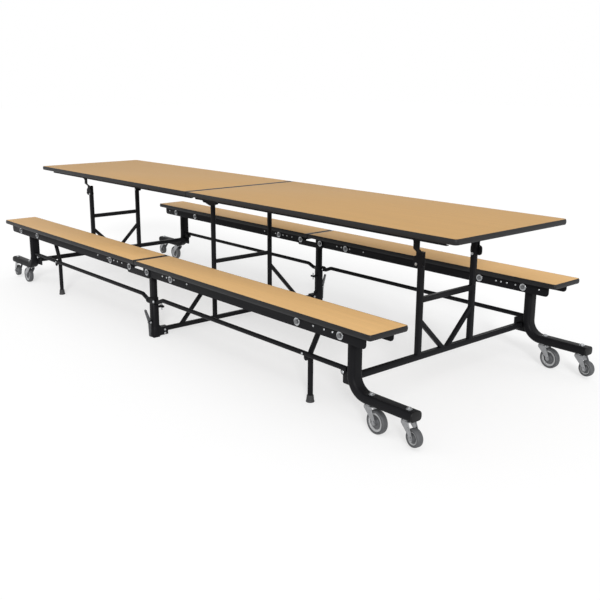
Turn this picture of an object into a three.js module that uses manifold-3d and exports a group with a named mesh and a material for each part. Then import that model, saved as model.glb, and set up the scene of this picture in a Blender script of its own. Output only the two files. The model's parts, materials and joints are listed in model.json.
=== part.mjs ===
// Cafeteria folding table with a bench on each side, in millimetres.
// X runs along the table, +Y points to the far bench, Z is up. The origin is on the floor under the centre.
// The table leaf, the bench leaves and the lower rods of one half are parallel links of one length. They
// turn on the centre frame and the end frame, so the centre lifts while both ends roll in and stay upright.

import * as THREE from "three";
import { mergeVertices } from "three/addons/utils/BufferGeometryUtils.js";
import Module from "manifold-3d";

const wasm = await Module();
wasm.setup();

// Overall sizes
const TABLE_LENGTH = 3658;
const TABLE_WIDTH = 762;
const TABLE_HEIGHT = 774;
const BENCH_WIDTH = 216;
const BENCH_HEIGHT = 439;
const BENCH_Y = 610;
const TABLE_OVERHANG = 334;
const BENCH_OVERHANG = 190;

// Clearances
const FIT = 0.3;
const RUN = 0.3;
const SIDE_PLAY = 0.5;
const LEAF_GAP = 6;

// Leaves of table and bench
const LEAF_THICKNESS = 24;
const BAND_WIDTH = 4;
const BAND_ROUND = 2;
const TABLE_CORNER = 18;
const BENCH_CORNER = 12;

// Fold pivots at the centre frame; the drops are measured from the underside of the leaf
const TABLE_PIVOT_X = 55;
const TABLE_PIVOT_DROP = 40;
const BENCH_PIVOT_X = 90;
const BENCH_PIVOT_DROP = 26;
const ROD_PIVOT_GAP = 2;
const ROD_PIVOT_Z = 206;

// Under-frame of a table leaf
const RAIL_INSET = 46;
const RAIL_WIDTH = 30;
const RAIL_LIP = 16;
const RAIL_DEPTH = 18;
const RAIL_WALL = 3;
const RAIL_START = 22;
const RAIL_END_INSET = 84;
const CROSS_WIDTH = 40;
const EAR_THICKNESS = 5;
const EAR_RADIUS = 16;

// Table hinges on the centre legs and on the end legs
const HINGE_Y = 216;
const HINGE_PLATE = 6;
const HINGE_PIN = 7;
const HINGE_HEAD = 11;
const HINGE_HEAD_DEPTH = 4;
const HEAD_TIP_DROP = 28;
const HEAD_LEAN = 60;
const STRAP_WIDTH = 32;
const STRAP_LENGTH = 106;
const STRAP_JOGGLE = 60;
const STRAP_JOGGLE_RUN = 18;
const STRAP_FOOT_WIDTH = 62;
const STRAP_FOOT_RISE = 30;
const STRAP_FOOT_CORNER = 14;

// Bench channel
const CHANNEL_WIDTH = 156;
const CHANNEL_DEPTH = 50;
const CHANNEL_WALL = 3.5;
const CHANNEL_START = 45;
const CHANNEL_END_INSET = 50;
const CHANNEL_CORNER = 18;
const LINK_PIN = 9;
const LINK_SPACER = 13;
const WASHER_RADIUS = 17;
const WASHER_DEPTH = 3;

// Frame tubes
const CENTRE_LEG_TUBE = 22;
const CENTRE_RUNG_TUBE = 21;
const CENTRE_TIE_TUBE = 23;
const END_LEG_TUBE = 25;
const END_RUNG_TUBE = 24;
const END_TIE_TUBE = 26;
const BRACE_TUBE = 20;
const TUBE_EDGE = 3;

// Centre frame
const CENTRE_LEG_Y = 203;
const CENTRE_LEG_TOP_DROP = 10;
const CENTRE_RUNG_Z = 364;
const CENTRE_TIE_Z = 35;
const CENTRE_BRACE_TOP_Z = 292;
const CENTRE_BRACE_FOOT_Y = 438;
const SOCKET_WIDTH = 34;
const SOCKET_LENGTH = 46;
const SOCKET_TOP = 51;
const SOCKET_BOTTOM = 6;
const SOCKET_PLATE = 6;
const SOCKET_PLATE_TOP = 62;
const SOCKET_PLATE_BOTTOM = 3;

// Centre posts
const POST_INSET = 7;
const POST_TUBE = 32;
const SLEEVE_TUBE = 38;
const SLEEVE_TOP = 223;
const FOOT_CUP_WALL = 1;
const FOOT_CUP_TOP = 60;
const YOKE_PLATE = 4;
const YOKE_RADIUS = 16;
const CATCH_Z = 164;
const CATCH_REACH = 24;
const CATCH_BAR = 10;
const CATCH_WIDTH = 36;

// Floor-lock levers
const LEVER_PIVOT_Z = 87;
const LEVER_PIVOT_REACH = 12;
const LEVER_THICKNESS = 8;
const LEVER_PIN = 4;
const LEVER_BOSS = 10;
const LEVER_ARM = 6;
const LEVER_FOOT_Z = 12;
const LEVER_HANDLE_Z = 156;
const LEVER_HANDLE_REACH = 24;
const CLEVIS_PLATE = 3;

// Bench link saddles
const SADDLE_PLATE = 4;
const SADDLE_RADIUS = 22;
const SADDLE_DEPTH = 32;
const SADDLE_DIP = 1;
const SADDLE_DIP_SETBACK = 44;
const SADDLE_RISE = 144;
const SADDLE_CORNER = 10;
const SADDLE_WEB = 5;
const SADDLE_WEB_HALF = 30;
const SADDLE_PIN = 6;

// Lower rods
const ROD_TUBE = 11;
const ROD_RISE = 18;
const ROD_EYE = 11;
const ROD_EYE_THICKNESS = 8;
const ROD_NECK_START = 16;
const ROD_NECK_RUN = 44;
const ROD_NECK_LEAD = 10;
const ROD_BEND = 40;
const ROD_BEND_STEPS = 2;
const ROD_TAIL = 24;
const ROD_TAB = 12;
const ROD_TAB_THICKNESS = 6;
const ROD_PIN = 5;
const ROD_PIN_HEAD = 7.5;
const ROD_PIN_HEAD_DEPTH = 3;

// End frames
const END_LEG_Y = 181;
const END_TIE_Z = 183;
const END_RUNG_Z = 439;
const END_BRACE_TOP_Z = 350;
const END_BRACE_FOOT_Y = 8;

// Caster legs
const OVAL_WIDTH = 60;
const OVAL_DEPTH = 30;
const OVAL_BEND = 80;
const OVAL_BEND_STEPS = 3;
const OVAL_STEPS = 3;
const OVAL_TOP = 14;
const FOOT_REACH = 325;
const FOOT_NOSE = 6;
const GUSSET_PLATE = 6;
const GUSSET_ROD_GAP = 4;
const GUSSET_WIDTH = 60;
const GUSSET_TOP = 238;
const GUSSET_BACK_TOP = 214;
const GUSSET_BOTTOM = 150;
const GUSSET_HEEL = 26;

// Casters: the outer wheels are smaller, on the same forks, and hang clear of the floor
const INNER_WHEEL = 50;
const OUTER_WHEEL = 37.5;
const WHEEL_CLEARANCE = 6.7;
const CASTERS = {
  inner: { reach: 97, radius: INNER_WHEEL },
  outer: { reach: 292, radius: OUTER_WHEEL },
};
const WHEEL_WIDTH = 30;
const WEB_DISH = 6;
const TREAD_DEPTH = 13;
const TREAD_SHOULDER = 4;
const TREAD_ROUND = 8;
const HUB_RADIUS = 13;
const HUB_WIDTH = 35;
const TRAIL = 36;
const AXLE = 5;
const AXLE_END = 3;
const FORK_PLATE = 3;
const FORK_HEAD_RADIUS = 26;
const FORK_NECK_RADIUS = 20;
const FORK_HEAD_DEPTH = 15;
const FORK_BOSS = 11;
const FORK_NOSE = 22;
const FORK_BROW = 6;
const FORK_BACK = 155;
const FORK_WRAP = 216;
const YAW = { right: { inner: -4, outer: -8 }, left: { inner: 179, outer: 172 } };

// Mid-span legs of the near bench: the setback runs from the rod's outer pivot to the leg
const MID_SETBACK = { right: 227, left: 285 };
const MID_TUBE = 12;
const MID_ROD_GAP = 3;
const MID_PIN = 6;
const MID_TOP = 12;
const MID_BEND = 40;
const MID_BEND_STEPS = 2;
const MID_BEND_RISE = 19;
const MID_BEND_DROP = 44;
const FERRULE_HEIGHT = 32;
const FERRULE_FLOOR = 6;
const FERRULE_FOOT = 19;
const FERRULE_NECK = 15;

// Facets
const PIN_SIDES = 8;
const TUBE_STEPS = 4;
const LUG_STEPS = 2;
const ARC_STEPS = 2;
const EDGE_STEPS = 1;
const LATHE_STEPS = 12;
const HEAD_STEPS = 8;
const WELD = 1e-4;
const SINK = 1;

// Places that several pieces share
const UNDERSIDE = TABLE_HEIGHT - LEAF_THICKNESS;
const SEAT_UNDERSIDE = BENCH_HEIGHT - LEAF_THICKNESS;
const LINK = TABLE_LENGTH / 2 - TABLE_OVERHANG - TABLE_PIVOT_X;
const TABLE_PIVOT = { x: TABLE_PIVOT_X, z: UNDERSIDE - TABLE_PIVOT_DROP };
const BENCH_PIVOT = { x: BENCH_PIVOT_X, z: SEAT_UNDERSIDE - BENCH_PIVOT_DROP };
const ROD_PIVOT = { x: SLEEVE_TUBE / 2 + ROD_EYE + ROD_PIVOT_GAP, z: ROD_PIVOT_Z };
const TABLE_END = { x: TABLE_PIVOT.x + LINK, z: TABLE_PIVOT.z };
const BENCH_END = { x: BENCH_PIVOT.x + LINK, z: BENCH_PIVOT.z };
const ROD_END = { x: ROD_PIVOT.x + LINK, z: ROD_PIVOT.z };
const EAR_Y = HINGE_Y + HINGE_PLATE / 2 + SIDE_PLAY;
const POST_Y = BENCH_Y - POST_INSET;
const FOOT_CUP = SLEEVE_TUBE + 2 * FOOT_CUP_WALL;
const MID_Y = BENCH_Y - ROD_TUBE - MID_ROD_GAP - MID_TUBE;
const CHANNEL_LOW = BENCH_Y - CHANNEL_WIDTH / 2;
const CHANNEL_HIGH = BENCH_Y + CHANNEL_WIDTH / 2;
const GUSSET_Y = BENCH_Y - ROD_TUBE - GUSSET_ROD_GAP;
const FORK_TOP = 2 * INNER_WHEEL + WHEEL_CLEARANCE + FORK_PLATE + FORK_HEAD_DEPTH;
const FOOT_Z = FORK_TOP + FIT + OVAL_DEPTH / 2;

// Finishes
const LAMINATE = { color: 0xc8a577, roughness: 0.55, metalness: 0 };
const EDGE_RUBBER = { color: 0x232324, roughness: 0.6, metalness: 0 };
const BLACK_PAINT = { color: 0x18181a, roughness: 0.4, metalness: 0.2 };
const ZINC = { color: 0xb4b6b8, roughness: 0.35, metalness: 0.9 };
const WHEEL_RUBBER = { color: 0x6f7072, roughness: 0.7, metalness: 0 };
const FOOT_RUBBER = { color: 0x161617, roughness: 0.8, metalness: 0 };

// Solids

// A solid for joining and cutting, from a closed geometry.
function solid(geometry) {
  geometry.deleteAttribute("normal");
  geometry.deleteAttribute("uv");
  const merged = mergeVertices(geometry, WELD);
  const vertProperties = new Float32Array(merged.attributes.position.array);
  const triVerts = new Uint32Array(merged.index.array);
  return new wasm.Manifold(new wasm.Mesh({ numProp: 3, vertProperties, triVerts }));
}

function geometryOf(body) {
  const mesh = body.getMesh();
  const geometry = new THREE.BufferGeometry();
  geometry.setAttribute("position", new THREE.BufferAttribute(mesh.vertProperties, 3));
  geometry.setIndex(new THREE.BufferAttribute(mesh.triVerts, 1));
  geometry.computeVertexNormals();
  return geometry;
}

function join(first, ...others) {
  return others.reduce((body, other) => body.add(other), first);
}

function cut(body, ...tools) {
  return tools.reduce((left, tool) => left.subtract(tool), body);
}

function extruded(outline, depth, matrix, curveSegments) {
  const geometry = new THREE.ExtrudeGeometry(outline, { depth, bevelEnabled: false, curveSegments });
  return solid(geometry.applyMatrix4(matrix));
}

const AXIS_X = new THREE.Vector3(1, 0, 0);
const AXIS_Y = new THREE.Vector3(0, 1, 0);
const AXIS_Z = new THREE.Vector3(0, 0, 1);

// An outline in X and Z, carried along Y between two faces.
function acrossY(outline, y0, y1, steps = ARC_STEPS) {
  const matrix = new THREE.Matrix4().makeBasis(AXIS_X, AXIS_Z, AXIS_Y.clone().negate());
  matrix.setPosition(0, Math.max(y0, y1), 0);
  return extruded(outline, Math.abs(y1 - y0), matrix, steps);
}

// An outline in Y and Z, carried along X between two faces.
function alongX(outline, x0, x1, steps = ARC_STEPS) {
  const matrix = new THREE.Matrix4().makeBasis(AXIS_Y, AXIS_Z, AXIS_X).setPosition(Math.min(x0, x1), 0, 0);
  return extruded(outline, Math.abs(x1 - x0), matrix, steps);
}

// An outline in X and Y, raised along Z between two faces.
function upZ(outline, z0, z1, steps = ARC_STEPS) {
  return extruded(outline, z1 - z0, new THREE.Matrix4().setPosition(0, 0, z0), steps);
}

function block(x0, x1, y0, y1, z0, z1) {
  const geometry = new THREE.BoxGeometry(Math.abs(x1 - x0), Math.abs(y1 - y0), Math.abs(z1 - z0));
  return solid(geometry.translate((x0 + x1) / 2, (y0 + y1) / 2, (z0 + z1) / 2));
}

// A round pin along Y.
function pinY(at, radius, y0, y1) {
  const geometry = new THREE.CylinderGeometry(radius, radius, Math.abs(y1 - y0), PIN_SIDES);
  return solid(geometry.translate(at.x, (y0 + y1) / 2, at.z));
}

// A round pin along X.
function pinX(y, z, radius, x0, x1) {
  const geometry = new THREE.CylinderGeometry(radius, radius, Math.abs(x1 - x0), PIN_SIDES);
  return solid(geometry.rotateZ(Math.PI / 2).translate((x0 + x1) / 2, y, z));
}

// The hole that a pin of this radius turns in, with the running clearance kept at the flats.
function holeY(at, radius, y0, y1) {
  return pinY(at, (radius + RUN) / Math.cos(Math.PI / PIN_SIDES), y0, y1);
}

// A square tube with eased edges between two points.
function squareTube(from, to, side) {
  const half = side / 2;
  const flat = half - TUBE_EDGE;
  const corners = [[flat, -half], [half, -flat], [half, flat], [flat, half]];
  const ring = [...corners, ...corners.map(([x, y]) => [-x, -y])];
  const outline = ring.map(([x, y]) => new THREE.Vector2(x, y));
  const run = to.clone().sub(from);
  const turn = new THREE.Quaternion().setFromUnitVectors(AXIS_Z, run.clone().normalize());
  const matrix = new THREE.Matrix4().compose(from, turn, new THREE.Vector3(1, 1, 1));
  return extruded(new THREE.Shape(outline), run.length(), matrix, EDGE_STEPS);
}

// Outlines

// A rectangle with rounded corners, from the lower left corner round: one radius, or one for each corner.
function roundedRect(x0, x1, y0, y1, radii) {
  const [a, b, c, d] = Array.isArray(radii) ? radii : [radii, radii, radii, radii];
  const shape = new THREE.Shape();
  const corner = (x, y, radius, from) => {
    if (radius > 0) {
      shape.absarc(x, y, radius, from, from + Math.PI / 2);
    } else {
      shape.lineTo(x, y);
    }
  };
  shape.moveTo(x0 + a, y0);
  corner(x1 - b, y0 + b, b, -Math.PI / 2);
  corner(x1 - c, y1 - c, c, 0);
  corner(x0 + d, y1 - d, d, Math.PI / 2);
  corner(x0 + a, y0 + a, a, Math.PI);
  return shape;
}

// A lug that hangs from a straight top edge and ends in an arc round its pivot.
function lug(at, radius, top, topHalf) {
  const shape = new THREE.Shape();
  shape.moveTo(at.x + topHalf, top);
  shape.lineTo(at.x - topHalf, top);
  shape.lineTo(at.x - radius, at.z);
  shape.absarc(at.x, at.z, radius, Math.PI, Math.PI * 2);
  shape.closePath();
  return shape;
}

// A strip with two round ends, from one point to another.
function strip(from, to, radius0, radius1) {
  const angle = Math.atan2(to.y - from.y, to.x - from.x);
  const lean = Math.asin((radius0 - radius1) / from.distanceTo(to));
  const left = angle + Math.PI / 2 - lean;
  const right = angle - Math.PI / 2 + lean;
  const shape = new THREE.Shape();
  shape.absarc(from.x, from.y, radius0, left, right + Math.PI * 2);
  shape.absarc(to.x, to.y, radius1, right, left);
  shape.closePath();
  return shape;
}

// Bent tubes

// Straight runs joined by round bends, with a section only at each end and at the steps of a bend.
class BentPath extends THREE.Curve {
  constructor(corners, radius, bendSteps) {
    super();
    this.stations = [];
    this.bendSteps = bendSteps;
    const last = corners.length - 1;
    const direction = (i) => corners[i + 1].clone().sub(corners[i]).normalize();
    this.stations.push({ point: corners[0], tangent: direction(0) });
    for (let i = 1; i < last; i += 1) {
      this.bend(corners[i], direction(i - 1), direction(i), radius);
    }
    this.stations.push({ point: corners[last], tangent: direction(last - 1) });
    this.steps = this.stations.length - 1;
  }

  bend(corner, into, out, radius) {
    const turn = into.angleTo(out);
    const axis = into.clone().cross(out).normalize();
    const inward = axis.clone().cross(into);
    const start = corner.clone().addScaledVector(into, -radius * Math.tan(turn / 2));
    const centre = start.addScaledVector(inward, radius);
    for (let step = 0; step <= this.bendSteps; step += 1) {
      const angle = (turn * step) / this.bendSteps;
      const spoke = inward.clone().applyAxisAngle(axis, angle);
      const tangent = into.clone().applyAxisAngle(axis, angle);
      this.stations.push({ point: centre.clone().addScaledVector(spoke, -radius), tangent });
    }
  }

  getPointAt(share, target = new THREE.Vector3()) {
    return target.copy(this.stations[Math.round(share * this.steps)].point);
  }

  getTangentAt(share, target = new THREE.Vector3()) {
    return target.copy(this.stations[Math.round(share * this.steps)].tangent);
  }
}

function bentTube(section, corners, radius, bendSteps, curveSegments) {
  const path = new BentPath(corners, radius, bendSteps);
  const options = { steps: path.steps, extrudePath: path, curveSegments };
  return solid(new THREE.ExtrudeGeometry(section, options));
}

function roundSection(radius) {
  return new THREE.Shape().absarc(0, 0, radius, 0, Math.PI * 2);
}

// Leaves

// The leaf's edge, drawn in by an inset; its inner end lies at the centre split.
function leafOutline(leaf, inset) {
  const corner = leaf.corner - inset;
  const radii = [0, corner, corner, 0];
  return roundedRect(leaf.x0 + inset, leaf.x1 - inset, leaf.y0 + inset, leaf.y1 - inset, radii);
}

function leafBoard(leaf) {
  return geometryOf(upZ(leafOutline(leaf, BAND_WIDTH + FIT), leaf.top - LEAF_THICKNESS, leaf.top));
}

// A band round the leaf with its two outer edges rounded.
function leafBand(leaf) {
  const bottom = leaf.top - LEAF_THICKNESS;
  const rounded = new THREE.ExtrudeGeometry(leafOutline(leaf, BAND_ROUND), {
    depth: LEAF_THICKNESS - 2 * BAND_ROUND,
    bevelThickness: BAND_ROUND,
    bevelSize: BAND_ROUND,
    bevelSegments: EDGE_STEPS,
    curveSegments: ARC_STEPS,
  });
  const core = upZ(leafOutline(leaf, BAND_WIDTH), bottom - SINK, leaf.top + SINK);
  return geometryOf(cut(solid(rounded.translate(0, 0, bottom + BAND_ROUND)), core));
}

const TABLE_LEAF = {
  x0: LEAF_GAP / 2,
  x1: TABLE_LENGTH / 2,
  y0: -TABLE_WIDTH / 2,
  y1: TABLE_WIDTH / 2,
  top: TABLE_HEIGHT,
  corner: TABLE_CORNER,
};

const BENCH_LEAF = {
  x0: LEAF_GAP / 2,
  x1: BENCH_END.x + BENCH_OVERHANG,
  y0: BENCH_Y - BENCH_WIDTH / 2,
  y1: BENCH_Y + BENCH_WIDTH / 2,
  top: BENCH_HEIGHT,
  corner: BENCH_CORNER,
};

// Under-frame of a table leaf

// A rolled C along the edge of the leaf, open towards the middle.
function edgeRail(side) {
  const top = UNDERSIDE - FIT;
  const outer = side * (TABLE_WIDTH / 2 - RAIL_INSET);
  const inward = (reach) => outer - side * reach;
  const shape = new THREE.Shape();
  shape.moveTo(outer, top);
  shape.lineTo(inward(RAIL_WIDTH), top);
  shape.lineTo(inward(RAIL_WIDTH), top - RAIL_WALL);
  shape.lineTo(inward(RAIL_WALL), top - RAIL_WALL);
  shape.lineTo(inward(RAIL_WALL), top - RAIL_DEPTH + RAIL_WALL);
  shape.lineTo(inward(RAIL_LIP), top - RAIL_DEPTH + RAIL_WALL);
  shape.lineTo(inward(RAIL_LIP), top - RAIL_DEPTH);
  shape.lineTo(outer, top - RAIL_DEPTH);
  shape.closePath();
  return alongX(shape, RAIL_START, TABLE_LENGTH / 2 - RAIL_END_INSET);
}

// A channel across the leaf, open below, with a hinge ear near each end.
function crossChannel(pivot) {
  const top = UNDERSIDE - FIT;
  const half = CROSS_WIDTH / 2;
  const reach = TABLE_WIDTH / 2 - RAIL_INSET - RAIL_WALL / 2;
  const channel = cut(
    block(pivot.x - half, pivot.x + half, -reach, reach, top - RAIL_DEPTH, top),
    block(
      pivot.x - half + RAIL_WALL, pivot.x + half - RAIL_WALL,
      -reach - SINK, reach + SINK, top - RAIL_DEPTH - SINK, top - RAIL_WALL,
    ),
  );
  const ears = [1, -1].map((side) => {
    const face = side * EAR_Y;
    const back = side * (EAR_Y + EAR_THICKNESS);
    const outline = lug(pivot, EAR_RADIUS, top - RAIL_WALL / 2, half - RAIL_WALL / 2);
    const ear = acrossY(outline, face, back, LUG_STEPS);
    return cut(ear, holeY(pivot, HINGE_PIN, face - side * SINK, back + side * SINK));
  });
  return join(channel, ...ears);
}

function tableFrame() {
  return geometryOf(join(edgeRail(1), edgeRail(-1), crossChannel(TABLE_PIVOT), crossChannel(TABLE_END)));
}

// The pin that a table ear turns on: it stands out of a hinge plate and has its head outside the ear.
function hingePin(pivot, side) {
  const root = side * HINGE_Y;
  const head = side * (EAR_Y + EAR_THICKNESS + SIDE_PLAY);
  const shank = pinY(pivot, HINGE_PIN, root, head + side * SINK);
  return join(shank, pinY(pivot, HINGE_HEAD, head, head + side * HINGE_HEAD_DEPTH));
}

// Bench channel

// An inverted channel under the bench leaf. It carries the pin of the caster leg between two spacers
// and, on the near bench, the pin of a mid-span leg.
function benchChannel(midPin) {
  const top = SEAT_UNDERSIDE - FIT;
  const bottom = SEAT_UNDERSIDE - CHANNEL_DEPTH;
  const end = BENCH_LEAF.x1 - CHANNEL_END_INSET;
  const inner = CHANNEL_LOW + CHANNEL_WALL;
  const outer = CHANNEL_HIGH - CHANNEL_WALL;
  const cheek = roundedRect(CHANNEL_START, end, bottom, top, [0, CHANNEL_CORNER, 0, 0]);
  const hole = holeY(BENCH_PIVOT, SADDLE_PIN, CHANNEL_LOW - SINK, CHANNEL_HIGH + SINK);
  const walls = join(
    acrossY(cheek, CHANNEL_LOW, inner),
    acrossY(cheek, outer, CHANNEL_HIGH),
    block(CHANNEL_START, end, CHANNEL_LOW, CHANNEL_HIGH, top - CHANNEL_WALL, top),
  );
  const legFace = OVAL_WIDTH / 2 + FIT;
  const pieces = [
    pinY(BENCH_END, LINK_PIN, CHANNEL_LOW, CHANNEL_HIGH),
    pinY(BENCH_END, WASHER_RADIUS, CHANNEL_LOW - WASHER_DEPTH, CHANNEL_LOW + SINK),
    pinY(BENCH_END, WASHER_RADIUS, CHANNEL_HIGH - SINK, CHANNEL_HIGH + WASHER_DEPTH),
    pinY(BENCH_END, LINK_SPACER, CHANNEL_LOW + SINK, POST_Y - legFace),
    pinY(BENCH_END, LINK_SPACER, POST_Y + legFace, CHANNEL_HIGH - SINK),
  ];
  if (midPin) {
    pieces.push(pinY(midPin, MID_PIN, CHANNEL_LOW, CHANNEL_HIGH));
  }
  return geometryOf(join(cut(walls, hole), ...pieces));
}

// Centre frame

const point = (x, y, z) => new THREE.Vector3(x, y, z);

// A shallow triangle that spreads from the leg to the two table pivots.
function hingeHead(side) {
  const { x, z } = TABLE_PIVOT;
  const tip = z - HEAD_TIP_DROP;
  const foot = CENTRE_LEG_TUBE / 2;
  const shape = new THREE.Shape();
  shape.moveTo(-foot, tip);
  shape.lineTo(foot, tip);
  const lean = THREE.MathUtils.degToRad(HEAD_LEAN);
  shape.absarc(x, z, EAR_RADIUS, -lean, Math.PI / 2);
  shape.absarc(-x, z, EAR_RADIUS, Math.PI / 2, Math.PI + lean);
  shape.closePath();
  const plate = acrossY(shape, side * (HINGE_Y - HINGE_PLATE / 2), side * (HINGE_Y + HINGE_PLATE / 2));
  return join(plate, hingePin(TABLE_PIVOT, side), hingePin({ x: -x, z }, side));
}

// The socket that bolts the cross tube to a post.
function postSocket(side) {
  const face = POST_Y - FOOT_CUP / 2 - FIT;
  const back = face - SOCKET_PLATE;
  const half = SOCKET_WIDTH / 2;
  const end = side * (back - SOCKET_LENGTH);
  const sleeve = block(-half, half, end, side * (back + SINK), SOCKET_BOTTOM, SOCKET_TOP);
  const outline = roundedRect(-half, half, SOCKET_PLATE_BOTTOM, SOCKET_PLATE_TOP, TUBE_EDGE);
  return join(sleeve, acrossY(outline, side * back, side * face, EDGE_STEPS));
}

function centreFrame() {
  const legTop = TABLE_PIVOT.z - CENTRE_LEG_TOP_DROP;
  const tubeEnd = POST_Y - FOOT_CUP / 2 - FIT - SOCKET_PLATE;
  const at = (y, z) => point(0, y, z);
  const pieces = [
    squareTube(at(-tubeEnd, CENTRE_TIE_Z), at(tubeEnd, CENTRE_TIE_Z), CENTRE_TIE_TUBE),
    squareTube(at(-CENTRE_LEG_Y, CENTRE_RUNG_Z), at(CENTRE_LEG_Y, CENTRE_RUNG_Z), CENTRE_RUNG_TUBE),
  ];
  for (const side of [1, -1]) {
    const leg = side * CENTRE_LEG_Y;
    const braceFoot = at(side * CENTRE_BRACE_FOOT_Y, CENTRE_TIE_Z);
    pieces.push(
      squareTube(at(leg, CENTRE_TIE_Z), at(leg, legTop), CENTRE_LEG_TUBE),
      squareTube(at(leg, CENTRE_BRACE_TOP_Z), braceFoot, BRACE_TUBE),
      hingeHead(side),
      postSocket(side),
    );
  }
  return geometryOf(join(...pieces));
}

// Centre posts, built for the far side

// The plate on the post's outer face that carries the pins of both lower rods.
function rodYoke() {
  const face = POST_Y + SLEEVE_TUBE / 2;
  const left = new THREE.Vector2(-ROD_PIVOT.x, ROD_PIVOT.z);
  const right = new THREE.Vector2(ROD_PIVOT.x, ROD_PIVOT.z);
  const shape = strip(left, right, YOKE_RADIUS, YOKE_RADIUS);
  const eyeBack = BENCH_Y - ROD_EYE_THICKNESS / 2 - SIDE_PLAY;
  const pins = [1, -1].map((side) => {
    const at = { x: side * ROD_PIVOT.x, z: ROD_PIVOT.z };
    return join(
      pinY(at, ROD_PIN, eyeBack - ROD_PIN_HEAD_DEPTH, face + SINK),
      pinY(at, ROD_PIN_HEAD, eyeBack - ROD_PIN_HEAD_DEPTH, eyeBack),
    );
  });
  return join(acrossY(shape, face - SINK, face + YOKE_PLATE), ...pins);
}

// The T that holds the folded frame shut, on the post's inner face.
function foldCatch() {
  const face = POST_Y - SLEEVE_TUBE / 2;
  const half = CATCH_BAR / 2;
  const end = face - CATCH_REACH;
  return join(
    block(-half, half, end, face + SINK, CATCH_Z - half, CATCH_Z + half),
    block(-CATCH_WIDTH / 2, CATCH_WIDTH / 2, end - CATCH_BAR, end + SINK, CATCH_Z - half, CATCH_Z + half),
  );
}

const LEVER_PIVOT_Y = POST_Y + SLEEVE_TUBE / 2 + LEVER_PIVOT_REACH;

// Two cheeks and a pin along X that carry the floor-lock lever.
function leverClevis() {
  const face = POST_Y + SLEEVE_TUBE / 2;
  const inside = LEVER_THICKNESS / 2 + SIDE_PLAY;
  const outside = inside + CLEVIS_PLATE;
  const cheek = new THREE.Shape();
  cheek.moveTo(face - SINK, LEVER_PIVOT_Z - LEVER_BOSS);
  cheek.absarc(LEVER_PIVOT_Y, LEVER_PIVOT_Z, LEVER_BOSS, -Math.PI / 2, Math.PI / 2);
  cheek.lineTo(face - SINK, LEVER_PIVOT_Z + LEVER_BOSS);
  cheek.closePath();
  return join(
    alongX(cheek, inside, outside),
    alongX(cheek, -outside, -inside),
    pinX(LEVER_PIVOT_Y, LEVER_PIVOT_Z, LEVER_PIN, -outside - WASHER_DEPTH, outside + WASHER_DEPTH),
  );
}

function post() {
  const top = BENCH_PIVOT.z - SADDLE_DEPTH - FIT;
  const at = (z) => point(0, POST_Y, z);
  return geometryOf(join(
    squareTube(at(FOOT_CUP_TOP), at(top), POST_TUBE),
    squareTube(at(FOOT_CUP_TOP - SINK), at(SLEEVE_TOP), SLEEVE_TUBE),
    squareTube(at(0), at(FOOT_CUP_TOP), FOOT_CUP),
    rodYoke(),
    foldCatch(),
    leverClevis(),
  ));
}

// A cranked flat bar: a foot below its pivot and a handle that leans out above it.
function lockLever() {
  const pivot = new THREE.Vector2(LEVER_PIVOT_Y, LEVER_PIVOT_Z);
  const foot = new THREE.Vector2(LEVER_PIVOT_Y, LEVER_FOOT_Z);
  const handle = new THREE.Vector2(LEVER_PIVOT_Y + LEVER_HANDLE_REACH, LEVER_HANDLE_Z);
  const half = LEVER_THICKNESS / 2;
  const holeRadius = (LEVER_PIN + RUN) / Math.cos(Math.PI / PIN_SIDES);
  const arms = join(
    alongX(strip(pivot, foot, LEVER_BOSS - SINK, LEVER_ARM), -half, half),
    alongX(strip(pivot, handle, LEVER_BOSS - SINK, LEVER_ARM), -half, half),
  );
  return geometryOf(cut(arms, pinX(LEVER_PIVOT_Y, LEVER_PIVOT_Z, holeRadius, -half - SINK, half + SINK)));
}

// Two link plates outside the bench channels, their two pins, and a web that sits on the post.
function saddle() {
  const { x, z } = BENCH_PIVOT;
  const end = x + SADDLE_RADIUS;
  const low = z - SADDLE_DEPTH;
  const rise = THREE.MathUtils.degToRad(SADDLE_RISE);
  const dip = x - SADDLE_DIP_SETBACK;
  const shape = new THREE.Shape();
  shape.moveTo(-end + SADDLE_CORNER, low);
  shape.lineTo(end - SADDLE_CORNER, low);
  shape.absarc(end - SADDLE_CORNER, low + SADDLE_CORNER, SADDLE_CORNER, -Math.PI / 2, 0);
  shape.absarc(x, z, SADDLE_RADIUS, 0, rise);
  shape.lineTo(dip, z + SADDLE_DIP);
  shape.lineTo(-dip, z + SADDLE_DIP);
  shape.absarc(-x, z, SADDLE_RADIUS, Math.PI - rise, Math.PI);
  shape.absarc(-end + SADDLE_CORNER, low + SADDLE_CORNER, SADDLE_CORNER, Math.PI, Math.PI * 1.5);
  const inner = CHANNEL_LOW - SIDE_PLAY;
  const outer = CHANNEL_HIGH + SIDE_PLAY;
  const pieces = [
    acrossY(shape, outer, outer + SADDLE_PLATE),
    block(-SADDLE_WEB_HALF, SADDLE_WEB_HALF, inner - SINK, outer + SINK, low, low + SADDLE_WEB),
  ];
  for (const side of [1, -1]) {
    const at = { x: side * x, z };
    pieces.push(
      pinY(at, SADDLE_PIN, inner - SADDLE_PLATE, outer + SADDLE_PLATE),
      pinY(at, WASHER_RADIUS, inner - SADDLE_PLATE - WASHER_DEPTH, inner - SINK),
      pinY(at, WASHER_RADIUS, outer + SINK, outer + SADDLE_PLATE + WASHER_DEPTH),
    );
  }
  return geometryOf(join(acrossY(shape, inner - SADDLE_PLATE, inner), ...pieces));
}

// Lower rods

// A tab under the rod with the hole of an outer pivot.
function rodTab(at, axisZ) {
  const half = ROD_TAB_THICKNESS / 2;
  const tab = acrossY(lug(at, ROD_TAB, axisZ, ROD_TAB), BENCH_Y - half, BENCH_Y + half, LUG_STEPS);
  return cut(tab, holeY(at, ROD_PIN, BENCH_Y - half - SINK, BENCH_Y + half + SINK));
}

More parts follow.
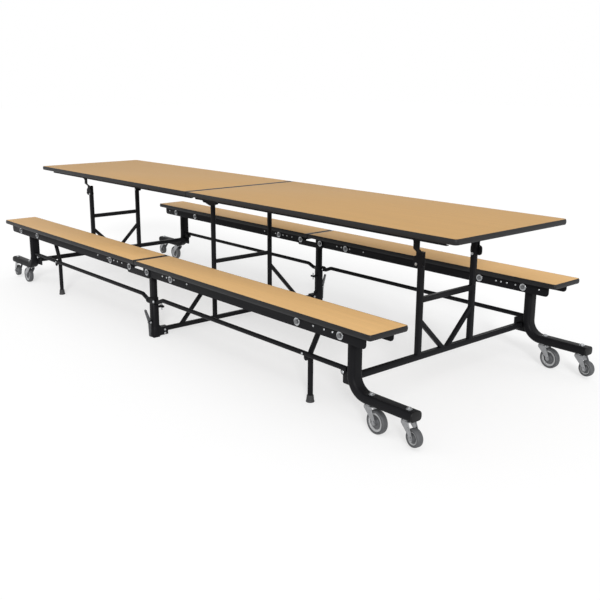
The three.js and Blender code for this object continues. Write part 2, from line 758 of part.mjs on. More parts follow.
// A round tube with a flattened eye and a gooseneck at the post, and a tab at its outer pivot.
function lowerRod(midPin) {
  const axisZ = ROD_PIVOT.z + ROD_RISE;
  const neck = ROD_PIVOT.x + ROD_NECK_START;
  const half = ROD_EYE_THICKNESS / 2;
  const tube = bentTube(roundSection(ROD_TUBE), [
    point(neck, BENCH_Y, ROD_PIVOT.z),
    point(neck + ROD_NECK_LEAD, BENCH_Y, ROD_PIVOT.z),
    point(neck + ROD_NECK_LEAD + ROD_NECK_RUN, BENCH_Y, axisZ),
    point(ROD_END.x + ROD_TAIL, BENCH_Y, axisZ),
  ], ROD_BEND, ROD_BEND_STEPS, TUBE_STEPS);
  const eyeCentre = new THREE.Vector2(ROD_PIVOT.x, ROD_PIVOT.z);
  const eyeRoot = new THREE.Vector2(neck + ROD_NECK_LEAD / 2, ROD_PIVOT.z);
  const eye = cut(
    acrossY(strip(eyeCentre, eyeRoot, ROD_EYE, ROD_TUBE - SINK), BENCH_Y - half, BENCH_Y + half),
    holeY(ROD_PIVOT, ROD_PIN, BENCH_Y - half - SINK, BENCH_Y + half + SINK),
  );
  const tabs = [rodTab(ROD_END, axisZ)];
  if (midPin) {
    tabs.push(rodTab(midPin, axisZ));
  }
  return geometryOf(join(tube, eye, ...tabs));
}

// The pin that a rod tab turns on, from the piece beside the rod, with its head past the tab.
function rodPin(at, root) {
  const head = BENCH_Y + ROD_TAB_THICKNESS / 2 + SIDE_PLAY;
  return join(
    pinY(at, ROD_PIN, root, head + SINK),
    pinY(at, ROD_PIN_HEAD, head, head + ROD_PIN_HEAD_DEPTH),
  );
}

// Mid-span legs, built for the right end of the far side and mirrored to the near side

function midPins(end) {
  const x = ROD_END.x - MID_SETBACK[end];
  return { low: { x, z: ROD_PIVOT.z }, high: { x: x + BENCH_PIVOT.x - ROD_PIVOT.x, z: BENCH_PIVOT.z } };
}

// An S-bent tube that hangs on a pin inside the channel and is held by the rod.
function midLeg({ low, high }) {
  const tube = bentTube(roundSection(MID_TUBE), [
    point(low.x, MID_Y, FERRULE_FLOOR),
    point(low.x, MID_Y, low.z + MID_BEND_RISE),
    point(high.x, MID_Y, high.z - MID_BEND_DROP),
    point(high.x, MID_Y, high.z + MID_TOP),
  ], MID_BEND, MID_BEND_STEPS, TUBE_STEPS);
  const hole = holeY(high, MID_PIN, MID_Y - MID_TUBE - SINK, MID_Y + MID_TUBE + SINK);
  return geometryOf(join(cut(tube, hole), rodPin(low, MID_Y)));
}

// A flared rubber cup on the foot of the leg.
function ferrule() {
  const bore = (MID_TUBE + FIT) / Math.cos(Math.PI / HEAD_STEPS);
  const floor = FERRULE_FLOOR - FIT;
  const profile = [
    [0, 0], [FERRULE_FOOT, 0], [FERRULE_FOOT, floor], [FERRULE_NECK, FERRULE_HEIGHT],
    [bore, FERRULE_HEIGHT], [bore, floor], [0, floor],
  ];
  return lathed(profile, HEAD_STEPS).rotateX(Math.PI / 2);
}

function lathed(profile, steps = LATHE_STEPS) {
  return new THREE.LatheGeometry(profile.map(([r, y]) => new THREE.Vector2(r, y)), steps);
}

// End frames

// A strap with a broad foot on the leg's outer face. It joggles out to the table hinge and carries its pin.
function hingeStrap(side) {
  const { x, z } = TABLE_END;
  const legFace = END_LEG_Y + END_LEG_TUBE / 2 - SINK;
  const hingeFace = HINGE_Y - HINGE_PLATE / 2;
  const half = STRAP_WIDTH / 2;
  const footHalf = STRAP_FOOT_WIDTH / 2;
  const top = z + half;
  const low = z - STRAP_LENGTH;
  const bendLow = z - STRAP_JOGGLE;
  const bendHigh = bendLow + STRAP_JOGGLE_RUN;
  const profile = new THREE.Shape();
  profile.moveTo(side * legFace, low - half);
  profile.lineTo(side * legFace, bendLow);
  profile.lineTo(side * hingeFace, bendHigh);
  profile.lineTo(side * hingeFace, top);
  profile.lineTo(side * (hingeFace + HINGE_PLATE), top);
  profile.lineTo(side * (hingeFace + HINGE_PLATE), bendHigh);
  profile.lineTo(side * (legFace + HINGE_PLATE), bendLow);
  profile.lineTo(side * (legFace + HINGE_PLATE), low - half);
  profile.closePath();
  const inside = side * (legFace - SINK);
  const outside = side * (hingeFace + HINGE_PLATE + SINK);
  const outline = strip(new THREE.Vector2(x, low), new THREE.Vector2(x, z), half, half);
  const footTop = low + STRAP_FOOT_RISE;
  const foot = roundedRect(x - footHalf, x + footHalf, low - half, footTop, STRAP_FOOT_CORNER);
  const face = join(acrossY(outline, inside, outside), acrossY(foot, inside, outside));
  const strap = alongX(profile, x - footHalf - SINK, x + footHalf + SINK).intersect(face);
  return join(strap, hingePin(TABLE_END, side));
}

// A planar frame: two legs, a rung, two braces that meet on the tie bar, and two hinge straps.
function endFrame() {
  const { x, z } = TABLE_END;
  const tieEnd = GUSSET_Y - GUSSET_PLATE - FIT;
  const at = (y, height) => point(x, y, height);
  const pieces = [
    squareTube(at(-tieEnd, END_TIE_Z), at(tieEnd, END_TIE_Z), END_TIE_TUBE),
    squareTube(at(-END_LEG_Y, END_RUNG_Z), at(END_LEG_Y, END_RUNG_Z), END_RUNG_TUBE),
  ];
  for (const side of [1, -1]) {
    const leg = side * END_LEG_Y;
    pieces.push(
      squareTube(at(leg, END_TIE_Z), at(leg, z - STRAP_JOGGLE), END_LEG_TUBE),
      squareTube(at(leg, END_BRACE_TOP_Z), at(side * END_BRACE_FOOT_Y, END_TIE_Z), BRACE_TUBE),
      hingeStrap(side),
    );
  }
  return geometryOf(join(...pieces));
}

// Caster legs, built for the right end of the far side

function ovalSection(inset) {
  const radius = OVAL_DEPTH / 2 - inset;
  const reach = (OVAL_WIDTH - OVAL_DEPTH) / 2;
  return strip(new THREE.Vector2(-reach, 0), new THREE.Vector2(reach, 0), radius, radius);
}

// A flat oval tube that hangs on the bench pin and bends out into the foot that the casters stand under.
// Its gusset takes the tie bar on one face and the lower rod's pin on the other.
function casterLeg() {
  const { x, z } = BENCH_END;
  const toe = x + FOOT_REACH;
  const tube = bentTube(ovalSection(0), [
    point(x, POST_Y, z + OVAL_TOP),
    point(x, POST_Y, FOOT_Z),
    point(toe, POST_Y, FOOT_Z),
  ], OVAL_BEND, OVAL_BEND_STEPS, OVAL_STEPS);
  const nose = bentTube(ovalSection(FOOT_NOSE / 2), [
    point(toe - SINK, POST_Y, FOOT_Z),
    point(toe + FOOT_NOSE, POST_Y, FOOT_Z),
  ], OVAL_BEND, OVAL_BEND_STEPS, OVAL_STEPS);
  const hole = holeY(BENCH_END, LINK_PIN, POST_Y - OVAL_WIDTH, POST_Y + OVAL_WIDTH);
  const back = x - OVAL_DEPTH / 2 - GUSSET_WIDTH;
  const gusset = new THREE.Shape();
  gusset.moveTo(back, GUSSET_BOTTOM);
  gusset.lineTo(x + GUSSET_HEEL, GUSSET_BOTTOM);
  gusset.lineTo(x, GUSSET_TOP);
  gusset.lineTo(back, GUSSET_BACK_TOP);
  gusset.closePath();
  return geometryOf(join(
    cut(tube, hole),
    nose,
    acrossY(gusset, GUSSET_Y - GUSSET_PLATE, GUSSET_Y),
    rodPin(ROD_END, GUSSET_Y - SINK),
  ));
}

// Casters, built round the swivel axis with the wheel trailing along +X

const AXLE_AT = { x: TRAIL, z: INNER_WHEEL };

// A bearing head, a crown and two cheeks that narrow to the axle.
function casterFork() {
  const crown = FORK_TOP - FORK_HEAD_DEPTH;
  const head = solid(lathed([
    [0, crown], [FORK_NECK_RADIUS, crown], [FORK_HEAD_RADIUS, crown + FORK_HEAD_DEPTH / 2],
    [FORK_HEAD_RADIUS, FORK_TOP], [0, FORK_TOP],
  ], HEAD_STEPS).rotateX(Math.PI / 2));
  const inside = HUB_WIDTH / 2 + SIDE_PLAY;
  const outside = inside + FORK_PLATE;
  const cheek = new THREE.Shape();
  cheek.moveTo(-FORK_NOSE, crown + SINK);
  cheek.lineTo(-FORK_NOSE, crown - FORK_BROW);
  const back = THREE.MathUtils.degToRad(FORK_BACK);
  cheek.absarc(AXLE_AT.x, AXLE_AT.z, FORK_BOSS, back, back + THREE.MathUtils.degToRad(FORK_WRAP));
  cheek.lineTo(FORK_NOSE, crown - FORK_PLATE);
  cheek.lineTo(FORK_NOSE, crown + SINK);
  cheek.closePath();
  return geometryOf(join(
    head,
    block(-FORK_NOSE, FORK_NOSE, -outside, outside, crown - FORK_PLATE, crown + SINK),
    acrossY(cheek, inside, outside),
    acrossY(cheek, -outside, -inside),
    pinY(AXLE_AT, AXLE, -outside - AXLE_END, outside + AXLE_END),
  ));
}

// A wheel with a round-shouldered tread, a dished web and a hub that fills the fork.
function casterWheel(radius) {
  const bore = (AXLE + RUN) / Math.cos(Math.PI / LATHE_STEPS);
  const hub = HUB_WIDTH / 2;
  const half = WHEEL_WIDTH / 2;
  const right = [
    [bore, hub], [HUB_RADIUS, hub], [radius - TREAD_DEPTH, half - WEB_DISH],
    [radius - TREAD_SHOULDER, half], [radius, half - TREAD_ROUND],
  ];
  const left = right.map(([r, y]) => [r, -y]);
  return lathed([...left, ...right.reverse(), left[0]]).translate(AXLE_AT.x, 0, AXLE_AT.z);
}

// Assembly

const foldingTable = new THREE.Group();

function addPiece(parent, name, geometry, finish) {
  const piece = new THREE.Mesh(geometry, new THREE.MeshStandardMaterial(finish));
  piece.name = name;
  parent.add(piece);
}

// A group that mirrors what is built for the right end of the far side.
function mirrored(sx, sy) {
  const group = new THREE.Group();
  group.scale.set(sx, sy, 1);
  foldingTable.add(group);
  return group;
}

const ENDS = { right: 1, left: -1 };
const SIDES = { near: -1, far: 1 };

addPiece(foldingTable, "centre_frame", centreFrame(), BLACK_PAINT);

for (const [side, sy] of Object.entries(SIDES)) {
  const group = mirrored(1, sy);
  addPiece(group, `${side}_post`, post(), BLACK_PAINT);
  addPiece(group, `${side}_saddle`, saddle(), BLACK_PAINT);
  addPiece(group, `${side}_lock_lever`, lockLever(), ZINC);
}

for (const [end, sx] of Object.entries(ENDS)) {
  const group = mirrored(sx, 1);
  addPiece(group, `${end}_table_top`, leafBoard(TABLE_LEAF), LAMINATE);
  addPiece(group, `${end}_table_band`, leafBand(TABLE_LEAF), EDGE_RUBBER);
  addPiece(group, `${end}_table_frame`, tableFrame(), BLACK_PAINT);
  addPiece(group, `${end}_end_frame`, endFrame(), BLACK_PAINT);
}

for (const [end, sx] of Object.entries(ENDS)) {
  for (const [side, sy] of Object.entries(SIDES)) {
    const name = `${side}_${end}`;
    const group = mirrored(sx, sy);
    const pins = side === "near" ? midPins(end) : null;
    addPiece(group, `${name}_bench_seat`, leafBoard(BENCH_LEAF), LAMINATE);
    addPiece(group, `${name}_bench_band`, leafBand(BENCH_LEAF), EDGE_RUBBER);
    addPiece(group, `${name}_bench_channel`, benchChannel(pins?.high), BLACK_PAINT);
    addPiece(group, `${name}_rod`, lowerRod(pins?.low), BLACK_PAINT);
    addPiece(group, `${name}_caster_leg`, casterLeg(), BLACK_PAINT);
    if (pins) {
      const foot = new THREE.Group();
      foot.position.set(pins.low.x, MID_Y, 0);
      group.add(foot);
      addPiece(group, `${name}_mid_leg`, midLeg(pins), BLACK_PAINT);
      addPiece(foot, `${name}_ferrule`, ferrule(), FOOT_RUBBER);
    }
    for (const [place, { reach, radius }] of Object.entries(CASTERS)) {
      const caster = new THREE.Group();
      caster.position.set(sx * (BENCH_END.x + reach), sy * POST_Y, 0);
      caster.rotation.z = THREE.MathUtils.degToRad(YAW[end][place]);
      foldingTable.add(caster);
      addPiece(caster, `${name}_${place}_fork`, casterFork(), ZINC);
      addPiece(caster, `${name}_${place}_wheel`, casterWheel(radius), WHEEL_RUBBER);
    }
  }
}

export default foldingTable;
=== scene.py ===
"""Finishes, fittings and studio for a cafeteria folding table with benches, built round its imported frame.

Lengths are in metres in the frame's own axes: X along the table, Y towards the far bench, Z up.
Pieces are worked out for the right end of the far side and mirrored to the other three.
"""

import json
import math

import bmesh
import bpy
import numpy as np
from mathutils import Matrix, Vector


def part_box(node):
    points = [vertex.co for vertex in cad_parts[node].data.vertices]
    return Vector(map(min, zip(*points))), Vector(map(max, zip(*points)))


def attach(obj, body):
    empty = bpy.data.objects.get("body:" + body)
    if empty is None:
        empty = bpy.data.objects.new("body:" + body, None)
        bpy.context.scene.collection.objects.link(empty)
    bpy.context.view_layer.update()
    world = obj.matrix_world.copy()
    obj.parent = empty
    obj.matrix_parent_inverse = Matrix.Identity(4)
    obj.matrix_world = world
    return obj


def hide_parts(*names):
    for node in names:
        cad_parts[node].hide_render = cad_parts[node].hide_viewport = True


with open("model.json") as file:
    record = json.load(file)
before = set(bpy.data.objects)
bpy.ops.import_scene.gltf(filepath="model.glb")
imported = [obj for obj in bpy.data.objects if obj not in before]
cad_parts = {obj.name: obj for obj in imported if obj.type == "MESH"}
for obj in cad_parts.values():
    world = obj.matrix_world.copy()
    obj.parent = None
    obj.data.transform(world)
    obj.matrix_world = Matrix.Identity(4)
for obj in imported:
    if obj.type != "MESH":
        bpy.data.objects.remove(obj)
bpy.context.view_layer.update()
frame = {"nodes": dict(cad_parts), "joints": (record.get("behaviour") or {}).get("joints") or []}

bl_info = {
    "name": "Cafeteria folding table",
    "version": (1, 0, 0),
    "blender": (4, 5, 0),
    "location": "3D View > Sidebar > Folding table",
    "description": "Dresses the frame of a folding cafeteria table with its finishes and fittings",
    "category": "Object",
}

MM = 0.001
JOINT_AT = {joint["name"]: np.array(joint["pos_m"]) for joint in frame["joints"]}
ENDS = {"right": 1, "left": -1}
SIDES = {"near": -1, "far": 1}
CORNERS = [(f"{side}_{end}", end, sx, sy) for end, sx in ENDS.items() for side, sy in SIDES.items()]
STATIONS = ("inner", "outer")

AXIS_X = np.array([1.0, 0.0, 0.0])
AXIS_Y = np.array([0.0, 1.0, 0.0])
AXIS_Z = np.array([0.0, 0.0, 1.0])

# Pivots of the far right bench, rod and table leaf
BENCH_END = JOINT_AT["far_right_bench_fold"]
ROD_END = JOINT_AT["far_right_rod_fold"]
BENCH_START = JOINT_AT["near_left_bench_fold"] * [-1, -1, 1]
ROD_START = JOINT_AT["near_left_rod_fold"] * [-1, -1, 1]
TABLE_END = JOINT_AT["right_table_fold"]


def sized(name):
    """Low and high corner of a node's box."""
    low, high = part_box(name)
    return np.array(low), np.array(high)


def lug_x(end):
    """Where the lug for an end's mid-span leg sits along a rod: as far out from the rod's inner pivot as the
    leg's own pivot is from the bench's."""
    return ROD_START[0] + abs(JOINT_AT[f"near_{end}_support_turn"][0]) - BENCH_START[0]


def linear(code):
    """Scene-linear red, green and blue of an sRGB hex code."""
    channels = np.array([int(code[i:i + 2], 16) for i in (1, 3, 5)]) / 255
    bright = ((channels + 0.055) / 1.055) ** 2.4
    return tuple(float(c) for c in np.where(channels <= 0.04045, channels / 12.92, bright))


# Settings


def colour_setting(name, description, code):
    """A colour that a user may change, from its sRGB hex code."""
    return bpy.props.FloatVectorProperty(
        name=name, description=description, subtype="COLOR", min=0, max=1, default=linear(code))


def length_setting(name, description, millimetres):
    """A length that a user may change."""
    return bpy.props.FloatProperty(
        name=name, description=description, unit="LENGTH", default=millimetres * MM)


class LeafSettings(bpy.types.PropertyGroup):
    """Table and bench leaves."""

    laminate: colour_setting("Table laminate", "Middle tone of the table's printed wood", "#c19a66")
    # the benches' copy of the table's laminate, painted lighter: painted light where the benches get less
    # light than the table
    seat_laminate_painted_light: colour_setting("Seat laminate", "Middle tone of the benches' printed wood", "#dab078")
    edge: colour_setting("Edge", "Colour of the edge moulding", "#242425")
    band_width: length_setting("Edge width", "How far the moulding shows from above", 4)
    split_width: length_setting("Split edge", "How far the moulding shows from above at the centre split", 16)
    band_crown: length_setting("Edge crown", "How far the moulding bulges at mid-height", 3.3)
    table_corner: length_setting("Table corner", "Corner radius of the table leaf", 18)
    bench_corner: length_setting("Bench corner", "Corner radius of the bench leaf", 12)


class SteelSettings(bpy.types.PropertyGroup):
    """Painted steel."""

    paint: colour_setting("Paint", "Colour of the powder coat", "#18181a")
    easing: length_setting("Edge easing", "Rounding that the coat leaves on cut edges", 0.8)


class FastenerSettings(bpy.types.PropertyGroup):
    """Washers, bolts and rivets."""

    zinc: colour_setting("Zinc", "Colour of the plated fasteners", "#b4b6b8")
    washer: length_setting("Washer", "Radius of a pivot washer", 17.4)
    bolt: length_setting("Bolt", "Radius across the corners of a hexagon head", 10.5)
    rivet: length_setting("Rivet", "Radius of a rivet head", 5)


class CasterSettings(bpy.types.PropertyGroup):
    """Swivel casters."""

    tyre: colour_setting("Tyre", "Colour of the grey tyre", "#4b4c4e")
    bead: colour_setting("Bead", "Colour of the pale ring inside the tyre", "#a6a7a8")
    core: colour_setting("Wheel core", "Colour of the hub and web", "#515254")
    wheel_width: length_setting("Wheel width", "Width of the tyre", 30)


class StageSettings(bpy.types.PropertyGroup):
    """Floor, light and camera."""

    lens: bpy.props.FloatProperty(
        name="Lens", description="Focal length in millimetres on a 36 mm sensor", default=49.256)
    ambient: bpy.props.FloatProperty(
        name="Ambient", description="Strength of the even light all round", default=0.62)
    key: bpy.props.FloatProperty(
        name="Key", description="Strength of the broad light from above the camera", default=0.75)
    front: bpy.props.FloatProperty(
        name="Front", description="Strength of the low light from beside the camera", default=1.8)
    floor: bpy.props.FloatProperty(
        name="Floor", description="Side of the floor", unit="LENGTH", default=80)


# Shapes: a shape is its points and a list of face blocks, each an array of one face's corners per row


def lofted(rows, loop=False):
    """Skin over rows of points, each row a closed ring that turns right-handed about the way the rows run.
    Two caps close the end rings, or a loop joins the last ring to the first."""
    rows = np.asarray(rows, float)
    count, around = rows.shape[:2]
    row = np.arange(count if loop else count - 1)[:, None]
    column = np.arange(around)[None, :]
    above = (row + 1) % count
    beside = (column + 1) % around
    quads = np.stack(np.broadcast_arrays(
        row * around + column, row * around + beside, above * around + beside, above * around + column), -1)
    blocks = [quads.reshape(-1, 4)]
    if not loop:
        blocks.append(np.arange(around)[None, ::-1])
        blocks.append((count - 1) * around + np.arange(around)[None, :])
    return rows.reshape(-1, 3), blocks


def joined(*shapes):
    """Several shapes as one: points stacked, faces counted on from the points before them."""
    starts = np.cumsum([0] + [len(points) for points, _ in shapes])
    points = np.concatenate([points for points, _ in shapes])
    return points, [block + start for (_, blocks), start in zip(shapes, starts) for block in blocks]


def mirrored(shape, sx, sy):
    """A shape reflected in X and Y by signs, with its faces turned round where that turns it inside out."""
    points, blocks = shape
    turned_over = sx * sy < 0
    return points * [sx, sy, 1], [block[:, ::-1] if turned_over else block for block in blocks]


def placed(shape, at, along):
    """A shape turned about Z until its X points along a direction, then moved to a point."""
    points, blocks = shape
    along = np.array([along[0], along[1], 0.0])
    along /= np.linalg.norm(along)
    return points @ np.array([along, np.cross(AXIS_Z, along), AXIS_Z]) + at, blocks


def arc(x, y, radius, angles):
    """Points of a plane at angles round a centre."""
    return np.stack([x + radius * np.cos(angles), y + radius * np.sin(angles)], -1)


def ring(width, depth, radius, steps=6):
    """A rectangle with rounded corners about the origin, one ring for each entry of width, depth and radius:
    corner centres at half the sides less the radius, and an arc of a quarter turn round each."""
    sizes = (np.atleast_1d(size).astype(float) for size in (width, depth, radius))
    width, depth, radius = np.broadcast_arrays(*sizes)
    quarter = np.linspace(0, math.pi / 2, steps + 1)
    angles = (np.arange(4)[:, None] * math.pi / 2 + quarter).ravel()
    signs = np.repeat([[1, 1], [-1, 1], [-1, -1], [1, -1]], steps + 1, axis=0)
    centres = np.stack([width / 2 - radius, depth / 2 - radius], -1)[:, None, :] * signs
    return centres + radius[:, None, None] * arc(0, 0, 1, angles)


def fillet(corner, into, out, radius, steps):
    """An arc that leads from one unit run into another: it starts short of their corner by the radius times
    the tangent of half the turn, and bends towards the part of the second run that is square to the first."""
    turn = math.acos(np.clip(into @ out, -1, 1))
    inward = (out - into * (into @ out)) / math.sin(turn)
    angle = np.linspace(0, turn, steps + 1)[:, None]
    start = corner - into * radius * math.tan(turn / 2)
    return start + radius * (into * np.sin(angle) + inward * (1 - np.cos(angle)))


def bent(corners, radius, steps=12):
    """A path of straight runs with a round bend at each inner corner."""
    corners = np.asarray(corners, float)
    runs = np.diff(corners, axis=0)
    runs /= np.linalg.norm(runs, axis=1)[:, None]
    bends = [fillet(*bend, radius, steps) for bend in zip(corners[1:-1], runs[:-1], runs[1:])]
    return np.concatenate([corners[:1], *bends, corners[-1:]])


def swept(path, section):
    """A ring carried along a path that lies square to Y: its first measure runs along Y, its second along
    the path's tangent crossed with Y."""
    path = np.asarray(path, float)
    tangent = np.gradient(path, axis=0)
    tangent /= np.linalg.norm(tangent, axis=1)[:, None]
    across = np.cross(tangent, AXIS_Y)
    return lofted(path[:, None, :] + section[..., :1] * AXIS_Y + section[..., 1:] * across[:, None, :])


def square_to(axis):
    """A unit vector square to one of the frame's axes."""
    return np.cross(axis, AXIS_Z if axis[0] else AXIS_X)


def turned(profile, at, axis, steps, loop=False):
    """A profile of radius and height turned about an axis through a point, with its outside on the right
    of its run. Ends on the axis close to a pole; a loop joins the profile's last point to its first."""
    profile = np.asarray(profile, float)
    first = square_to(axis)
    angle = np.arange(steps) * 2 * math.pi / steps
    spokes = np.cos(angle)[:, None] * first + np.sin(angle)[:, None] * np.cross(axis, first)
    return lofted(np.asarray(at) + profile[:, None, :1] * spokes + profile[:, None, 1:] * axis, loop)


def drawn_in(outline, inset):
    """An outline, counter-clockwise, with each corner moved in so that both its edges move by the inset."""
    edge = np.roll(outline, -1, axis=0) - outline
    normal = np.stack([edge[:, 1], -edge[:, 0]], -1) / np.linalg.norm(edge, axis=1)[:, None]
    before = np.roll(normal, 1, axis=0)
    bisector = (normal + before) / (1 + np.sum(normal * before, axis=1))[:, None]
    return outline - inset * bisector


def rounded(corners, radii, steps=5):
    """A closed outline with an arc at each of its corners."""
    corners = np.asarray(corners, float)
    runs = np.roll(corners, -1, axis=0) - corners
    runs /= np.linalg.norm(runs, axis=1)[:, None]
    bends = zip(corners, np.roll(runs, 1, axis=0), runs, np.broadcast_to(radii, len(corners)))
    return np.concatenate([fillet(*bend, steps) for bend in bends])


def plate(outline, origin, right, up, thickness, easing=0.8 * MM):
    """A flat plate: an outline in two axes, raised along their cross product, with both edges eased by a
    quarter circle in two steps that draws the outline in towards each face."""
    angle = np.linspace(0, math.pi / 2, 3)
    insets = easing * (1 - np.concatenate([np.sin(angle), np.cos(angle)]))
    rise = np.concatenate([easing * (1 - np.cos(angle)), thickness - easing * (1 - np.sin(angle))])
    flat = np.stack([drawn_in(outline, inset) for inset in insets])
    rows = np.asarray(origin) + flat[..., :1] * right + flat[..., 1:] * up
    return lofted(rows + rise[:, None, None] * np.cross(right, up))


# Heads: easing of a hexagon's corners and faces and of a washer, and how far a dome is sunk in its seat
HEAD_CORNER, HEAD_EASING, WASHER_EASING, DOME_SINK = 0.6 * MM, 0.7 * MM, 0.6 * MM, 0.5 * MM
# Pins in the rods' lugs: radius, head's radius and height, and the head's seat outside the rod's middle line
PIN_RADIUS, PIN_HEAD, PIN_HEAD_HEIGHT, PIN_SEAT = 5 * MM, 7.5 * MM, 3 * MM, 3.5 * MM


def hexagon(at, axis, radius, height, turn=0.0):
    """A hexagon head: six corners about an axis, raised from a point, its two faces eased."""
    right = square_to(axis)
    outline = arc(0, 0, radius, np.arange(6) * math.pi / 3 + turn)
    return plate(rounded(outline, HEAD_CORNER, 2), at, right, np.cross(axis, right), height, HEAD_EASING)


def washer(at, axis, radius, height):
    """A flat washer with its outer edge eased, turned about an axis."""
    ease = min(WASHER_EASING, height / 3)
    profile = [(0, 0), (radius, 0), (radius, height - ease), (radius - ease, height), (0, height)]
    return turned(profile, at, axis, 36)


def dome(at, axis, radius, height):
    """A rivet or acorn head: a quarter of an ellipse turned about an axis."""
    angle = np.linspace(0, math.pi / 2, 6)
    profile = np.stack([radius * np.cos(angle), height * np.sin(angle)], -1)
    profile[-1, 0] = 0
    return turned(np.concatenate([[(0, -DOME_SINK), (radius, -DOME_SINK)], profile]), at, axis, 18)


def headed_pin(start, length):
    """A pin in a rod's lug: a cylinder along Y from a point, with a domed head on its far end."""
    profile = [(0, 0), (PIN_RADIUS, 0), (PIN_RADIUS, length), (0, length)]
    head = dome(start + length * AXIS_Y, AXIS_Y, PIN_HEAD, PIN_HEAD_HEIGHT)
    return joined(turned(profile, start, AXIS_Y, 16), head)


def piece(name, shape, body, slot, *materials, replaces=(), choose=None):
    """A mesh object at the origin from a shape, smooth except at folds sharper than an angle, that rides on a
    body and stands for the nodes it replaces; its slot is not used. Points that fall together are merged."""
    points, blocks = shape
    mesh = bpy.data.meshes.new(name)
    mesh.from_pydata(points.tolist(), [], [face for block in blocks for face in block.tolist()])
    work = bmesh.new()
    work.from_mesh(mesh)
    bmesh.ops.remove_doubles(work, verts=work.verts, dist=1e-6)
    work.to_mesh(mesh)
    work.free()
    return dressed(name, mesh, body, materials, replaces, choose=choose)


def dressed(name, mesh, body, materials, replaces, sharp=35, choose=None):
    """A finished object for a mesh: shading, materials, body and the nodes it stands for. The chooser
    gives a material's number for each face from the faces' normals."""
    for material in materials:
        mesh.materials.append(material)
    mesh.polygons.foreach_set("use_smooth", np.ones(len(mesh.polygons), bool))
    mesh.set_sharp_from_angle(angle=math.radians(sharp))
    if choose:
        normals = np.empty(len(mesh.polygons) * 3, np.float32)
        mesh.polygons.foreach_get("normal", normals)
        mesh.polygons.foreach_set("material_index", choose(normals.reshape(-1, 3)).astype(np.int32))
    made = bpy.data.objects.new(name, mesh)
    bpy.context.scene.collection.objects.link(made)
    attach(made, body)
    if replaces:
        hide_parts(*replaces)
    return made


# Materials


def node(material, kind, inputs=None, **settings):
    """A node in a material with its settings; an input is a value or another node's output socket."""
    tree = material.node_tree
    made = tree.nodes.new(kind)
    for key, value in settings.items():
        setattr(made, key, value)
    for key, value in (inputs or {}).items():
        if isinstance(value, bpy.types.NodeSocket):
            tree.links.new(value, made.inputs[key])
        else:
            made.inputs[key].default_value = value
    return made


def blank(name):
    """An empty node material."""
    material = bpy.data.materials.new(name)
    material.use_nodes = True
    material.node_tree.nodes.clear()
    return material


def seen_ray(owner):
    """One for a ray from the camera or from a mirror-like or clear surface, else nought."""
    light = node(owner, "ShaderNodeLightPath").outputs
    glossy = node(owner, "ShaderNodeMath", {0: light["Is Camera Ray"], 1: light["Is Glossy Ray"]},
                  operation="MAXIMUM").outputs[0]
    return node(owner, "ShaderNodeMath", {0: glossy, 1: light["Is Transmission Ray"]},
                operation="MAXIMUM").outputs[0]


def shade(colour, factor):
    """A linear colour made lighter or darker by a factor, as four numbers."""
    return (*(min(1.0, c * factor) for c in colour), 1.0)


def per_metre(across_mm, along_mm=None):
    """Mapping scale for a pattern whose features are this wide across Y and Z and this long along X."""
    across = 1 / (across_mm * MM)
    return (1 / ((along_mm or across_mm) * MM), across, across)


def wood_laminate(name, colour):
    """High-pressure laminate with a printed wood tone, pressed against a matt plate: straight low-contrast
    grain along the leaf, short dark pores, and a satin skin that breaks the reflections up a little."""
    m = blank(name)
    place = node(m, "ShaderNodeTexCoord").outputs["Object"]
    # grain bands 14 mm wide and half a metre long, that wander a little
    grain_at = node(m, "ShaderNodeMapping", {"Vector": place, "Scale": per_metre(14, 520)}).outputs[0]
    grain = node(m, "ShaderNodeTexNoise", {
        "Vector": grain_at, "Scale": 1.0, "Detail": 5.0, "Roughness": 0.6, "Distortion": 0.6}).outputs[0]
    # pores 1.5 mm wide and 24 mm long
    pore_at = node(m, "ShaderNodeMapping", {"Vector": place, "Scale": per_metre(1.5, 24)}).outputs[0]
    pores = node(m, "ShaderNodeTexNoise", {"Vector": pore_at, "Scale": 1.0, "Detail": 2.0}).outputs[0]
    tone = node(m, "ShaderNodeValToRGB", {"Fac": grain})
    tone.color_ramp.elements[0].position = 0.3
    tone.color_ramp.elements[0].color = shade(colour, 0.955)
    tone.color_ramp.elements[1].position = 0.7
    tone.color_ramp.elements[1].color = shade(colour, 1.04)
    dark = node(m, "ShaderNodeMapRange", {
        "Value": pores, "From Min": 0.56, "From Max": 0.74, "To Min": 0.0, "To Max": 0.35}).outputs[0]
    base = node(m, "ShaderNodeMix", {
        "Factor": dark, "A": tone.outputs[0], "B": shade(colour, 0.72)}, data_type="RGBA").outputs["Result"]
    rough = node(m, "ShaderNodeMapRange", {"Value": grain, "To Min": 0.52, "To Max": 0.64}).outputs[0]
    bump = node(m, "ShaderNodeBump", {"Height": pores, "Strength": 0.25, "Distance": 0.05 * MM}).outputs[0]
    shader = node(m, "ShaderNodeBsdfPrincipled", {
        "Base Color": base, "Roughness": rough, "Normal": bump, "Specular IOR Level": 0.12}).outputs[0]
    node(m, "ShaderNodeOutputMaterial", {"Surface": shader})
    return m


